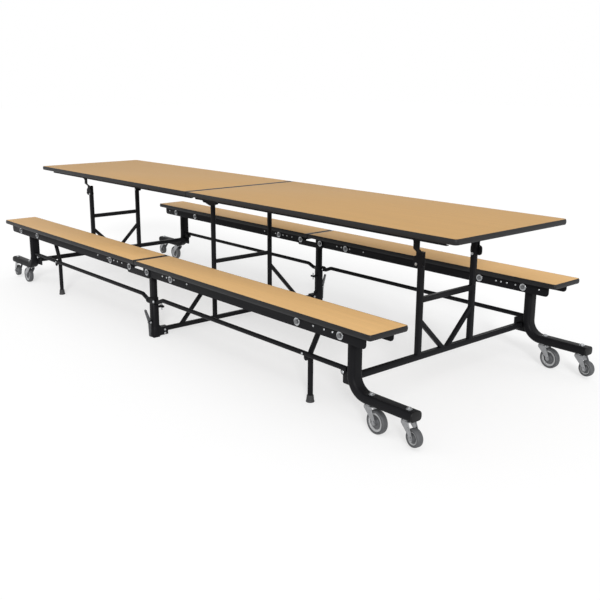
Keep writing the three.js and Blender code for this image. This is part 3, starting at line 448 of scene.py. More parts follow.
def mottled(name, colour, spread, patch_mm, roughness, grit_mm, grit_depth_mm, specular=0.5, metallic=0.0):
    """A finish with cloudy patches of two near tones, roughness that follows the patches, and a fine grit
    or orange-peel bump. Spread is the tones' share above and below the colour."""
    m = blank(name)
    place = node(m, "ShaderNodeTexCoord").outputs["Object"]
    cloud_at = node(m, "ShaderNodeMapping", {"Vector": place, "Scale": per_metre(patch_mm)}).outputs[0]
    cloud = node(m, "ShaderNodeTexNoise", {
        "Vector": cloud_at, "Scale": 1.0, "Detail": 4.0, "Roughness": 0.55}).outputs[0]
    grit_at = node(m, "ShaderNodeMapping", {"Vector": place, "Scale": per_metre(grit_mm)}).outputs[0]
    grit = node(m, "ShaderNodeTexNoise", {"Vector": grit_at, "Scale": 1.0, "Detail": 2.0}).outputs[0]
    tone = node(m, "ShaderNodeValToRGB", {"Fac": cloud})
    tone.color_ramp.elements[0].position = 0.32
    tone.color_ramp.elements[0].color = shade(colour, 1 - spread)
    tone.color_ramp.elements[1].position = 0.68
    tone.color_ramp.elements[1].color = shade(colour, 1 + spread)
    rough = node(m, "ShaderNodeMapRange", {
        "Value": cloud, "From Min": 0.3, "From Max": 0.7, "To Min": roughness[0], "To Max": roughness[1]})
    bump = node(m, "ShaderNodeBump", {"Height": grit, "Strength": 0.4, "Distance": grit_depth_mm * MM})
    shader = node(m, "ShaderNodeBsdfPrincipled", {
        "Base Color": tone.outputs[0], "Roughness": rough.outputs[0], "Normal": bump.outputs[0],
        "Specular IOR Level": specular, "Metallic": metallic}).outputs[0]
    node(m, "ShaderNodeOutputMaterial", {"Surface": shader})
    return m


def finish(name):
    """One of the object's finishes, made when it is first asked for."""
    found = bpy.data.materials.get(name)
    if found:
        return found
    scene = bpy.context.scene
    leaf, steel = scene.table_leaves, scene.table_steel
    fastener, caster = scene.table_fasteners, scene.table_casters
    if name == "Wood-tone laminate":
        return wood_laminate(name, leaf.laminate)
    # the same laminate painted lighter for the benches: painted light
    if name == "Pale wood-tone laminate":
        return wood_laminate(name, leaf.seat_laminate_painted_light)
    # colour, spread of its tones, patches in mm, roughness, grit's width and depth in mm, specular, metallic
    recipes = {
        # kraft backing sheet: dull brown, faintly fibrous
        "Kraft backing sheet": (linear("#6b5844"), 0.12, 30, (0.62, 0.74), 3, 0.05),
        # extruded vinyl: dull sheen, faint handling marks
        "Vinyl edge moulding": (leaf.edge, 0.12, 45, (0.38, 0.5), 1.6, 0.03, 0.15),
        # powder coat, baked satin: orange peel of about 2 mm that softens its faint highlights
        "Black powder coat": (steel.paint, 0.1, 70, (0.38, 0.48), 2.2, 0.04, 0.06),
        # bright zinc plate: pale metal with cloudy dull patches
        "Zinc plate": (fastener.zinc, 0.08, 12, (0.28, 0.42), 1.2, 0.02, 0.5, 1.0),
        # zinc plate dulled by the spanner: darker, rougher metal
        "Dull zinc plate": (linear("#7a7b7d"), 0.12, 9, (0.4, 0.55), 1.0, 0.03, 0.5, 1.0),
        # phosphated and oiled steel: dark grey metal, blotchy and soft in its shine
        "Phosphated steel": (linear("#636466"), 0.15, 15, (0.42, 0.56), 1.5, 0.03, 0.5, 1.0),
        # non-marking rubber, moulded: flat grey with a little dust
        "Grey tyre rubber": (caster.tyre, 0.1, 18, (0.55, 0.68), 1.0, 0.05),
        # thermoplastic rubber, moulded on the wheel under the tyre: paler grey, smooth
        "Pale grey rubber": (caster.bead, 0.06, 22, (0.48, 0.58), 1.0, 0.03),
        # polypropylene, moulded: darker grey, slight sheen
        "Grey polypropylene": (caster.core, 0.08, 25, (0.4, 0.48), 1.2, 0.03),
        # pressed sheet with zinc plate: greyer than the turned parts, streaked in its shine
        "Zinc-plated sheet": (linear("#999a9c"), 0.14, 16, (0.24, 0.4), 1.4, 0.03, 0.5, 1.0),
        # black rubber, moulded: dull, almost no highlight
        "Black rubber": (linear("#2b2b2c"), 0.15, 14, (0.62, 0.75), 1.0, 0.06),
        # nylon, moulded black with a spark-eroded grain, set darker than the paint: painted shade on the
        # foot's end face
        "Black nylon": (linear("#121213"), 0.08, 20, (0.42, 0.52), 0.9, 0.05, 0.2),
    }
    return mottled(name, *recipes[name])


# Pieces


class FOLDING_TABLE_OT_leaves(bpy.types.Operator):
    """Laminate boards of the table and benches and the moulding round their edges"""

    bl_idname = "folding_table.leaves"
    bl_label = "Add the leaves"

    # the corners at the split, all but square, the board's clearance in the moulding and its eased edges
    square, clearance, easing = 0.4 * MM, 0.1 * MM, 0.3 * MM

    def outline(self, low, high, corner, inset, split):
        """A leaf's edge drawn in by an inset, and by one of its own at the centre split: square at the split,
        round at the outer end."""
        x0, y0 = low[0] + split, low[1] + inset
        x1, y1 = high[0] - inset, high[1] - inset
        radii = [self.square, corner - inset, corner - inset, self.square]
        return rounded([(x0, y0), (x1, y0), (x1, y1), (x0, y1)], radii, 10)

    def board(self, low, high, corner, width, split_width):
        """A board inside the moulding with both edges eased by a hair."""
        flat = self.outline(low, high, corner, width + self.clearance, split_width + self.clearance)
        return plate(flat, low[2] * AXIS_Z, AXIS_X, AXIS_Y, high[2] - low[2], self.easing)

    def band(self, low, high, corner, width, split_width, crown):
        """The moulding: an arc from its lower edge to its upper one that bulges by the crown at mid-height,
        carried round the leaf and closed inside. The arc's radius is the half height squared plus the crown
        squared, over twice the crown."""
        half = (high[2] - low[2]) / 2
        radius = (half ** 2 + crown ** 2) / (2 * crown)
        reach = math.asin(half / radius)
        angle = np.linspace(-reach, reach, 11)
        bulge = radius * (1 - np.cos(angle))
        z = np.concatenate([low[2] + half + radius * np.sin(angle), [high[2], low[2]]])
        insets = np.append(bulge, [width, width])
        splits = np.append(bulge, [split_width, split_width])
        flat = np.stack([self.outline(low, high, corner, *pair) for pair in zip(insets, splits)])
        rows = np.concatenate([flat, np.broadcast_to(z[:, None, None], (*flat.shape[:2], 1))], -1)
        return lofted(rows, loop=True)

    def execute(self, context):
        settings = context.scene.table_leaves
        # the seat laminate is the table's laminate painted lighter: painted light on the benches
        top, seat, backing, edge = map(finish, (
            "Wood-tone laminate", "Pale wood-tone laminate", "Kraft backing sheet", "Vinyl edge moulding"))
        leaves = [(f"{end}_table", f"{end}_table_top", top, "right_table_band", settings.table_corner, sx, 1)
                  for end, sx in ENDS.items()]
        leaves += [(f"{name}_bench", f"{name}_bench_seat", seat, "far_right_bench_band",
                    settings.bench_corner, sx, sy) for name, _, sx, sy in CORNERS]
        widths = settings.band_width, settings.split_width
        for body, board_node, laminate, edge_node, corner, sx, sy in leaves:
            low, high = sized(edge_node)
            board = self.board(low, high, corner, *widths)
            # the faces that look down are backing
            piece(f"{body}_board", mirrored(board, sx, sy), body, "laminate", laminate, backing,
                  replaces=[board_node], choose=lambda normals: normals[:, 2] < -0.5)
            band = self.band(low, high, corner, *widths, settings.band_crown)
            piece(f"{body}_edge", mirrored(band, sx, sy), body, "edge_band", edge, replaces=[f"{body}_band"])
        return {"FINISHED"}


class FOLDING_TABLE_OT_frames(bpy.types.Operator):
    """Welded frames, posts, link saddles, channels and levers with the eased edges of coated steel"""

    bl_idname = "folding_table.frames"
    bl_label = "Add the steel frames"

    # faces this flat to one another are joined, faces with more corners are cut up, edges this sharp rounded
    flat_angle, most_corners, cut_angle = math.radians(0.5), 8, math.radians(60)

    def eased(self, name, body, slot, material, width):
        """A merged copy of a node with its flat faces joined and its cut edges rounded."""
        mesh = frame["nodes"][name].data.copy()
        mesh.materials.clear()
        work = bmesh.new()
        work.from_mesh(mesh)
        bmesh.ops.remove_doubles(work, verts=work.verts, dist=1e-5)
        bmesh.ops.dissolve_limit(work, angle_limit=self.flat_angle, verts=work.verts, edges=work.edges)
        bmesh.ops.triangulate(
            work, faces=[face for face in work.faces if len(face.verts) > self.most_corners])
        work.to_mesh(mesh)
        work.free()
        made = dressed(f"{name}_steel", mesh, body, [material], [name], sharp=50)
        bevel = made.modifiers.new("Eased edges", "BEVEL")
        bevel.width = width
        bevel.segments = 2
        bevel.limit_method = "ANGLE"
        bevel.angle_limit = self.cut_angle
        bevel.harden_normals = True
        return made

    def execute(self, context):
        width = context.scene.table_steel.easing
        paint, phosphate = finish("Black powder coat"), finish("Phosphated steel")
        painted = {"centre_frame": "centre"}
        for side in SIDES:
            painted |= {f"{side}_post": "centre", f"{side}_saddle": "centre"}
        for end in ENDS:
            painted |= {f"{end}_table_frame": f"{end}_table", f"{end}_end_frame": f"{end}_end"}
        painted |= {f"{name}_bench_channel": f"{name}_bench" for name, *_ in CORNERS}
        for name, body in painted.items():
            self.eased(name, body, "black_paint", paint, width)
        for side in SIDES:
            self.eased(f"{side}_lock_lever", f"{side}_lever", "zinc", phosphate, width)
        return {"FINISHED"}


class FOLDING_TABLE_OT_caster_legs(bpy.types.Operator):
    """Bent tube legs with their gussets and end caps"""

    bl_idname = "folding_table.caster_legs"
    bl_label = "Add the caster legs"

    # the tube's section and bend, and how far the cap stands out of it
    width, depth, corner, bend, nose = 60 * MM, 40 * MM, 15 * MM, 80 * MM, 6 * MM
    # the gusset: heights of its foot, its back and its top, the foot's reach past the leg's line, its corners
    # and its outer face across the table
    gusset_foot, gusset_back, gusset_top, gusset_heel = np.array([150, 214, 238, 26]) * MM
    gusset_corners = np.array([7, 2, 2, 5]) * MM
    gusset_face, gusset_thickness, gusset_easing = 595 * MM, 6 * MM, 0.9 * MM

    def leg(self, low, high):
        """A rectangle with rounded corners carried down the leg, round the bend and along the foot."""
        x, y, _ = BENCH_END
        foot_z = low[2] + self.depth / 2
        path = bent([(x, y, high[2]), (x, y, foot_z), (high[0] - self.nose, y, foot_z)], self.bend, 28)
        return swept(path, ring(self.width, self.depth, self.corner, 8))

    def gusset(self, back):
        """A plate behind the bend, upright at the back, with a top edge that rises to the leg."""
        x = BENCH_END[0]
        corners = [(back, self.gusset_foot), (x + self.gusset_heel, self.gusset_foot), (x, self.gusset_top),
                   (back, self.gusset_back)]
        outline = rounded(corners, self.gusset_corners)
        return plate(outline, self.gusset_face * AXIS_Y, AXIS_X, AXIS_Z, self.gusset_thickness,
                     self.gusset_easing)

    def cap(self, low, high):
        """A plug with a thin lip and a flat end: the ring shrinks as it rounds over the tube's end."""
        inset = np.array([0.4, -0.3, -0.3, 0.4, 1.0, 2.2, 4.4]) * MM
        out = np.array([-1.5, -1.0, 1.6, 2.6, 4.2, 5.5, 6.0]) * MM
        toe = np.array([high[0] - self.nose, BENCH_END[1], low[2] + self.depth / 2])
        section = ring(self.width - 2 * inset, self.depth - 2 * inset, self.corner - inset, 8)
        return swept(toe + out[:, None] * AXIS_X, section)

    def execute(self, context):
        # the cap's nylon is darker than the paint: painted shade on the foot's lit end face
        paint, shaded_nylon = finish("Black powder coat"), finish("Black nylon")
        low, high = sized("far_right_caster_leg")
        leg = joined(self.leg(low, high), self.gusset(low[0]))
        cap = self.cap(low, high)
        for name, end, sx, sy in CORNERS:
            piece(f"{name}_oval_leg", mirrored(leg, sx, sy), f"{end}_end", "black_paint", paint,
                  replaces=[f"{name}_caster_leg"])
            piece(f"{name}_foot_cap", mirrored(cap, sx, sy), f"{end}_end", "black_paint", shaded_nylon)
        return {"FINISHED"}


class FOLDING_TABLE_OT_rods(bpy.types.Operator):
    """Lower rods with a flattened eye, a gooseneck and the tabs of their outer pivots"""

    bl_idname = "folding_table.rods"
    bl_label = "Add the lower rods"

    # from the eye's centre: where the tube is round, and the two corners of the gooseneck
    neck = np.array([16, 26, 70]) * MM
    bend = 40 * MM
    # the eye's thickness and corners, and the angle at its end and the number of rings up to its middle
    eye_thickness, eye_corner, eye_start, eye_rings = 8 * MM, 1.2 * MM, math.radians(8), 7
    # the flare from the eye to the tube: places from the eye's centre, corners, shares of the eye's thickness
    flare_at, flare_corners = np.array([(5, 9, 13), (2, 4.5, 7.4)]) * MM
    flare_growth = np.array([1.05, 1.4, 2.0])
    tab_radius, tab_thickness = 12 * MM, 6 * MM

    def rod(self, tube, line, eye, end):
        """A round ring carried along the rod. Towards the post it flattens into the eye, whose end is a half
        circle: the ring's height there is the chord of the eye at that distance from its centre."""
        x, y, z = ROD_START
        start, low, high = x + self.neck
        path = bent([(start, y, z), (low, y, z), (high, y, line), (end, y, line)], self.bend, 8)
        angle = np.linspace(self.eye_start, math.pi / 2, self.eye_rings)
        eye_x = np.append(x - eye * np.cos(angle), x + self.flare_at)
        eye_path = np.stack([eye_x, np.full_like(eye_x, y), np.full_like(eye_x, z)], -1)
        chord = np.append(eye * np.sin(angle), np.full_like(self.flare_at, eye))
        thick = self.eye_thickness / 2 * np.append(np.ones(self.eye_rings), self.flare_growth)
        corners = np.append(np.full(self.eye_rings, self.eye_corner), self.flare_corners)
        soft = np.minimum(np.minimum(chord, thick), corners)
        plain = np.full(len(path), tube)
        width, depth, corner = (np.append(half, plain) for half in (thick, chord, soft))
        return swept(np.concatenate([eye_path, path]), ring(2 * width, 2 * depth, corner))

    def tab(self, at, line):
        """A lug under the rod: straight from the tube's middle line, round below its pin."""
        x, y, z = at
        radius = self.tab_radius
        bottom = arc(x, z, radius, np.linspace(math.pi, 2 * math.pi, 17))
        outline = np.concatenate([bottom, [(x + radius, line), (x - radius, line)]])
        return plate(outline, (y + self.tab_thickness / 2) * AXIS_Y, AXIS_X, AXIS_Z, self.tab_thickness)

    def execute(self, context):
        paint = finish("Black powder coat")
        low, high = sized("far_right_rod")
        tube = (high[1] - low[1]) / 2
        line = high[2] - tube
        rod = self.rod(tube, line, ROD_START[0] - low[0], high[0])
        for name, end, sx, sy in CORNERS:
            shapes = [rod, self.tab(ROD_END, line)]
            if sy == SIDES["near"]:
                shapes.append(self.tab((lug_x(end), *ROD_START[1:]), line))
            piece(f"{name}_link_rod", mirrored(joined(*shapes), sx, sy), f"{name}_lower_rod", "black_paint",
                  paint, replaces=[f"{name}_rod"])
        return {"FINISHED"}


class FOLDING_TABLE_OT_mid_legs(bpy.types.Operator):
    """S-bent legs under the near bench and their rubber feet"""

    bl_idname = "folding_table.mid_legs"
    bl_label = "Add the mid-span legs"

    # the bends' radius, the lower one's height over the rod's pin, the upper one's drop below the bench's
    bend, rise, drop = 40 * MM, 19 * MM, 44 * MM

    def leg(self, top, low, high):
        """A round ring carried up from the foot, across the two bends and into the channel, and the rod's
        pin."""
        shift = BENCH_START[0] - ROD_START[0]
        tube = (high[0] - low[0] - shift) / 2
        x, y, z = top
        foot_x = x - shift
        path = bent([(foot_x, y, low[2]), (foot_x, y, ROD_START[2] + self.rise), (x, y, z - self.drop),
                     (x, y, high[2])], self.bend)
        pin = headed_pin(np.array([foot_x, y, ROD_START[2]]), ROD_START[1] + PIN_SEAT - y)
        return joined(swept(path, ring(2 * tube, 2 * tube, tube)), pin), (foot_x, y)

    def foot(self, at):
        """A crutch tip: a flat tread, a rounded flare, two grooves and a rolled lip, turned about the leg."""
        profile = np.array([
            (0, 0), (17, 0), (18.4, 0.6), (19, 2), (19, 4.2), (18.3, 6.2), (17.4, 8), (17.2, 11),
            (16.5, 11.8), (16.5, 13.4), (16.8, 14.2), (16.4, 19), (15.8, 19.8), (15.8, 21.2), (16, 22),
            (15.3, 29.5), (14.9, 31.2), (14, 32), (12.2, 32), (12.2, 30)]) * MM
        return turned(profile, (*at, 0), AXIS_Z, 28)

    def execute(self, context):
        paint, rubber = finish("Black powder coat"), finish("Black rubber")
        for end, sx in ENDS.items():
            leg, at = self.leg(np.abs(JOINT_AT[f"near_{end}_support_turn"]), *sized("near_right_mid_leg"))
            body = f"near_{end}_support"
            piece(f"near_{end}_bench_leg", mirrored(leg, sx, -1), body, "black_paint", paint,
                  replaces=[f"near_{end}_mid_leg"])
            piece(f"near_{end}_leg_tip", mirrored(self.foot(at), sx, -1), body, "foot_rubber", rubber,
                  replaces=[f"near_{end}_ferrule"])
        return {"FINISHED"}


class FOLDING_TABLE_OT_casters(bpy.types.Operator):
    """Swivel forks, tyres and wheel cores"""

    bl_idname = "folding_table.casters"
    bl_label = "Add the casters"

    # inner and outer face of the fork's cheeks, from the middle of the wheel, and the easing of their edges
    inside, outside, easing = 18 * MM, 21 * MM, 1 * MM
    # the crown: half its length, its drop from the fork's top, its corners and its lap into the head
    crown_half, crown_drop, crown_corner, crown_lap = np.array([22, 15, 4, 0.6]) * MM
    # a cheek below the crown: its chamfer, where its slopes begin in front and behind, the boss at the axle
    chamfer, front_drop, back_drop, heel_drop = np.array([2, 6, 4, 12]) * MM
    boss, boss_arc = 11 * MM, np.radians([155, 371])
    axle_radius, nut_radius, nut_height = 4.9 * MM, 8 * MM, 3 * MM
    # the wheel: the hub's edge, and the tyre's seat below the tread
    hub_edge, seat_drop = 13.6 * MM, 10.6 * MM

    def fork(self, axle, top):
        """A ball-race head turned about the stem, a pressed crown, two tapered cheeks and the axle's bolt."""
        head = turned(np.array([
            (0, -16.1), (17, -16.1), (20, -15.3), (24, -11.7), (25.4, -9.1), (24.8, -7.1), (23.4, -6.7),
            (23.4, -5.9), (25.6, -5.5), (26, -4.1), (25.4, -2.1), (22, -0.9), (15, -0.2), (0, -0.1)]) * MM,
            top * AXIS_Z, AXIS_Z, 36)
        half, out = self.crown_half, self.outside
        sheet = out - self.inside
        crown_z = top - self.crown_drop
        flat = rounded([(-half, -out), (half, -out), (half, out), (-half, out)], self.crown_corner)
        crown = plate(flat, (crown_z - sheet) * AXIS_Z, AXIS_X, AXIS_Y, sheet + self.crown_lap, self.easing)
        bottom = arc(axle[0], axle[2], self.boss, np.linspace(*self.boss_arc, 15))
        shoulders = [(half, crown_z - self.front_drop), (half - self.chamfer, crown_z),
                     (self.chamfer - half, crown_z), (-half, crown_z - self.back_drop),
                     (-half, crown_z - self.heel_drop)]
        outline = np.concatenate([bottom, shoulders])
        cheeks = [plate(outline, y * AXIS_Y, AXIS_X, AXIS_Z, sheet, self.easing) for y in (out, -self.inside)]
        shank = [(0, -out), (self.axle_radius, -out), (self.axle_radius, out), (0, out)]
        nuts = [hexagon(axle + sign * out * AXIS_Y, sign * AXIS_Y, self.nut_radius, self.nut_height)
                for sign in (1, -1)]
        return joined(head, crown, *cheeks, turned(shank, axle, AXIS_Y, 16), *nuts)

    def tyre(self, axle, radius, width):
        """A closed section turned about the axle: crowned tread, round shoulders, and sidewalls with a raised
        ring. Its points are drops below the tread and draws from the full width."""
        drop = np.array([11.2, 10.2, 9.2, 8.4, 7, 4.8, 2.6, 1, 0.1]) * MM
        draw = np.array([3.4, 1.2, 1.8, 0.8, 0, 0.3, 1.8, 4.6, 9]) * MM
        return self.wheel_ring(axle, np.stack([radius - drop, width / 2 - draw], -1))

    def core(self, axle, radius):
        """The wheel inside the tyre, turned about the axle: a hub of fixed size, then a dished web that grows
        with the wheel."""
        hub = np.array([(5.4, 17.4), (8.6, 17.4), (9.4, 16.6), (12.4, 16.4), (13, 15.8), (13.6, 9)]) * MM
        web = self.shares(radius, [(0.06, 7.4), (0.3, 6.4), (0.52, 6.6), (0.61, 7.2), (0.64, 5)])
        return self.wheel_ring(axle, np.concatenate([hub, web]))

    def bead(self, axle, radius):
        """The pale ring between web and tyre, turned about the axle: a rolled inner lip, a flat face and a
        groove at the tyre's seat."""
        return self.wheel_ring(axle, self.shares(radius, [
            (0.6, 4), (0.6, 8.8), (0.63, 10.8), (0.68, 11.8), (0.77, 12.2), (0.92, 12.2), (0.98, 11.4),
            (1, 9)]))

    def shares(self, radius, section):
        """A section given as shares of the way from the hub's edge to the tyre's seat, and offsets in mm."""
        share, offset = np.array(section).T
        seat = radius - self.seat_drop
        return np.stack([self.hub_edge + share * (seat - self.hub_edge), offset * MM], -1)

    def wheel_ring(self, axle, side):
        """One side's profile of radius and offset, and its mirror image, turned once about the axle."""
        return turned(np.concatenate([side[::-1], side * [1, -1]]), axle, -AXIS_Y, 56, loop=True)

    def execute(self, context):
        width = context.scene.table_casters.wheel_width
        sheet, rubber, pale, core = map(finish, (
            "Zinc-plated sheet", "Grey tyre rubber", "Pale grey rubber", "Grey polypropylene"))
        for station in STATIONS:
            stem, hub = (JOINT_AT[f"far_right_{station}_{joint}"] for joint in ("swivel_turn", "wheel_roll"))
            axle = np.array([np.linalg.norm((hub - stem)[:2]), 0, hub[2]])
            low, high = sized(f"far_right_{station}_wheel")
            radius = (high[2] - low[2]) / 2
            top = sized(f"far_right_{station}_fork")[1][2]
            parts = {
                "yoke": (self.fork(axle, top), "swivel", "zinc", sheet, ["fork"]),
                "tyre": (self.tyre(axle, radius, width), "roller", "wheel_grey", rubber, ["wheel"]),
                "wheel_bead": (self.bead(axle, radius), "roller", "wheel_grey", pale, []),
                "wheel_core": (self.core(axle, radius), "roller", "wheel_grey", core, []),
            }
            for name, *_ in CORNERS:
                caster = f"{name}_{station}"
                stem, hub = JOINT_AT[f"{caster}_swivel_turn"], JOINT_AT[f"{caster}_wheel_roll"]
                for part, (shape, rides, slot, material, stands_for) in parts.items():
                    piece(f"{caster}_{part}", placed(shape, stem * [1, 1, 0], hub - stem),
                          f"{caster}_{rides}", slot, material,
                          replaces=[f"{caster}_{cad}" for cad in stands_for])
        return {"FINISHED"}


class FOLDING_TABLE_OT_fasteners(bpy.types.Operator):
    """Pivot washers, hexagon bolts, rivets, screws, pins and acorn nuts"""

    bl_idname = "folding_table.fasteners"
    bl_label = "Add the fasteners"

    # outside faces of a channel and of a saddle, inner then outer, each with the way it looks along Y
    cheeks = ((532 * MM, -1), (688 * MM, 1))
    saddle_faces = ((527.5 * MM, -1), (692.5 * MM, 1))
    # what sits along a channel, from the centre out: crossing bolts, rivets and the end's group of rivets
    crossings = np.array([309, 1275]) * MM
    centre_rivets = {"right": np.array([234, 273, 342, 456]) * MM,
                     "left": np.array([179, 228, 268, 342, 456]) * MM}
    inner_rivets = np.array([1374, 1403, 1438, 1487]) * MM
    outer_rivets = np.array([1374, 1438, 1487]) * MM
    last_rivet, rivet_rise, rivet_height = 1618 * MM, 4 * MM, 2.6 * MM
    washer_thickness, head_height, head_turn = 3.2 * MM, 5.5 * MM, 0.3
    # screws under a leaf: places along it, places across it and the height of their seat
    seat_screws = np.arange(130, 1600, 245) * MM, np.array([570, 650]) * MM, 411.6 * MM
    table_screws = np.arange(130, 1700, 220) * MM, np.array([-311, 311]) * MM, 747.1 * MM
    screw_height = 2.4 * MM
    # radius and height of the other heads
    yoke_head, pin_end, post_bolt, strap_bolt = np.array([(8, 4), (7, 2.6), (6.5, 4), (7, 4)]) * MM
    stem_washer, stem_nut, stem_end, rod_head = np.array([(13, 2.2), (10, 5), (6, 2.4), (6, 3.4)]) * MM
    # the post: the yoke's outer face, the rod pin's reach inwards, the lever's half thickness, the socket's
    # half width, its bolts' place and heights, and the catch's pin
    yoke_face, pin_reach, lever_half, socket_half = np.array([626, 7.5, 7.5, 17]) * MM
    socket_y, socket_bolts, catch_at = 552 * MM, np.array([15, 35]) * MM, np.array([0, 555, 164]) * MM
    # the foot: the stem washers' sink, the nuts' seat over it, and the length of the rod's pin
    stem_sink, nut_seat, rod_pin = np.array([0.5, 2, 19.5]) * MM
    # the strap: its bolts' drop below the pivot, its face and the leg's, and the bolts' places from the pivot
    strap_drop, strap_face, leg_face = np.array([113, 198.4, 168.6]) * MM
    plated_in, painted_out, painted_rise = np.array([13, 21, 5]) * MM
    # the bolt on a rod: how far it is from the mid-span leg, and its sink in the tube
    rod_bolt_in, rod_bolt_sink = 15 * MM, 0.6 * MM

    def pivots(self, spots, settings):
        """Washers at spots, each a point and an outward axis, and the hexagon heads on them."""
        thick = self.washer_thickness
        washers = [washer(at, axis, settings.washer, thick) for at, axis in spots]
        heads = [hexagon(at + thick * axis, axis, settings.bolt, self.head_height, self.head_turn)
                 for at, axis in spots]
        return joined(*washers), joined(*heads)

    def rivets(self, end, outside, settings):
        """Rivets along both cheeks of a channel, with the end's group on the outer cheek or the inner one."""
        groups = [[self.last_rivet], []]
        groups[outside] = [*groups[outside], *(self.outer_rivets if outside else self.inner_rivets)]
        z = BENCH_END[2] + self.rivet_rise
        return joined(*(dome((x, y, z), sign * AXIS_Y, settings.rivet, self.rivet_height)
                        for (y, sign), group in zip(self.cheeks, groups)
                        for x in (*self.centre_rivets[end], *group)))

    def screws(self, xs, ys, z, settings):
        """Pan heads that face down under a leaf."""
        return joined(*(dome((x, y, z), -AXIS_Z, settings.rivet, self.screw_height) for x in xs for y in ys))

    def yoke(self, sign):
        """The head of a rod's pin on the yoke's outer face, at the right or the left."""
        return dome((sign * ROD_START[0], self.yoke_face, ROD_START[2]), AXIS_Y, *self.yoke_head)

    def post(self, sign):
        """Heads of the rod pins, bolts on each face of the socket and of the lever, and the catch's pin."""
        x, y, z = ROD_START
        shapes = [self.yoke(-sign)]
        for way in (1, -1):
            out = way * AXIS_X
            shapes.append(dome((way * x, y - self.pin_reach, z), -AXIS_Y, *self.pin_end))
            shapes += [hexagon((way * self.socket_half, self.socket_y, height), out, *self.post_bolt)
                       for height in self.socket_bolts]
            shapes.append(hexagon(JOINT_AT["far_lever_turn"] + self.lever_half * out, out, *self.post_bolt))
        pin = np.array([(0, -21), (2.6, -21), (3.4, -20), (3.4, 6), (5.4, 6.4), (5.4, 9), (3.8, 9.5),
                        (3.8, 20), (3, 21.5), (0, 22)]) * MM
        return joined(*shapes, turned(pin, self.catch_at, AXIS_Z, 14))

    def foot(self):
        """Nuts of the caster stems on top of the foot, and the rod's pin with its head."""
        foot_top = sized("far_right_caster_leg")[0][2] + FOLDING_TABLE_OT_caster_legs.depth
        shapes = [headed_pin(ROD_END + (PIN_SEAT - self.rod_pin) * AXIS_Y, self.rod_pin)]
        for station in STATIONS:
            x, y, _ = JOINT_AT[f"far_right_{station}_swivel_turn"]
            at = np.array([x, y, foot_top - self.stem_sink])
            nut_at = at + self.nut_seat * AXIS_Z
            shapes += [washer(at, AXIS_Z, *self.stem_washer), hexagon(nut_at, AXIS_Z, *self.stem_nut),
                       dome(nut_at + self.stem_nut[1] * AXIS_Z, AXIS_Z, *self.stem_end)]
        return joined(*shapes)

    def strap(self):
        """A plated bolt in the foot of a table strap with the nut behind its leg, and a painted bolt."""
        x, _, z = TABLE_END - self.strap_drop * AXIS_Z
        face = self.strap_face
        plated = hexagon((x - self.plated_in, face, z), AXIS_Y, *self.strap_bolt)
        nut = hexagon((x, self.leg_face, z), -AXIS_Y, *self.strap_bolt)
        painted = hexagon((x + self.painted_out, face, z + self.painted_rise), AXIS_Y, *self.strap_bolt)
        return joined(plated, nut), painted

    def rod_bolt(self, end):
        """A round head on the rod's outer face, just inside the mid-span leg."""
        low, high = sized("far_right_rod")
        line = high[2] - (high[1] - low[1]) / 2
        at = (lug_x(end) - self.rod_bolt_in, high[1] - self.rod_bolt_sink, line)
        return dome(at, AXIS_Y, *self.rod_head)

    def execute(self, context):
        settings = context.scene.table_fasteners
        zinc, dull, paint = map(finish, ("Zinc plate", "Dull zinc plate", "Black powder coat"))
        foot = self.foot()
        plated_bolt, painted_bolt = self.strap()
        bench_spots = [(np.array([x, y, BENCH_END[2]]), sign * AXIS_Y)
                       for y, sign in self.cheeks for x in (*self.crossings, BENCH_END[0])]
        bench_washers, bench_heads = self.pivots(bench_spots, settings)
        seat_screws = self.screws(*self.seat_screws, settings)
        for name, end, sx, sy in CORNERS:
            # the far right and the near left bench have the end's rivets inside, the two others outside
            rivets = self.rivets(end, sx * sy < 0, settings)
            plated = joined(bench_washers, rivets, seat_screws)
            piece(f"{name}_bench_fasteners", mirrored(plated, sx, sy), f"{name}_bench", "zinc", zinc)
            piece(f"{name}_bench_bolts", mirrored(bench_heads, sx, sy), f"{name}_bench", "zinc", dull)
            piece(f"{name}_foot_fasteners", mirrored(foot, sx, sy), f"{end}_end", "zinc", zinc)
            piece(f"{name}_strap_bolt", mirrored(plated_bolt, sx, sy), f"{end}_end", "zinc", zinc)
            piece(f"{name}_strap_head", mirrored(painted_bolt, sx, sy), f"{end}_end", "black_paint", paint)
        table_screws = self.screws(*self.table_screws, settings)
        for end, sx in ENDS.items():
            rod_bolt = mirrored(self.rod_bolt(end), sx, -1)
            piece(f"near_{end}_rod_bolt", rod_bolt, f"near_{end}_lower_rod", "zinc", zinc)
            piece(f"{end}_table_screws", mirrored(table_screws, sx, 1), f"{end}_table", "zinc", zinc)
        saddle_spots = [(np.array([sx * BENCH_START[0], y, BENCH_START[2]]), sign * AXIS_Y)
                        for sx in (1, -1) for y, sign in self.saddle_faces]
        washers, heads = self.pivots(saddle_spots, settings)
        for side, sy in SIDES.items():
            piece(f"{side}_saddle_fasteners", mirrored(washers, 1, sy), "centre", "zinc", zinc)
            piece(f"{side}_saddle_bolts", mirrored(heads, 1, sy), "centre", "zinc", dull)
            piece(f"{side}_post_fasteners", mirrored(self.post(sy), 1, sy), "centre", "zinc", zinc)
            piece(f"{side}_yoke_head", mirrored(self.yoke(sy), 1, sy), "centre", "black_paint", paint)
        return {"FINISHED"}


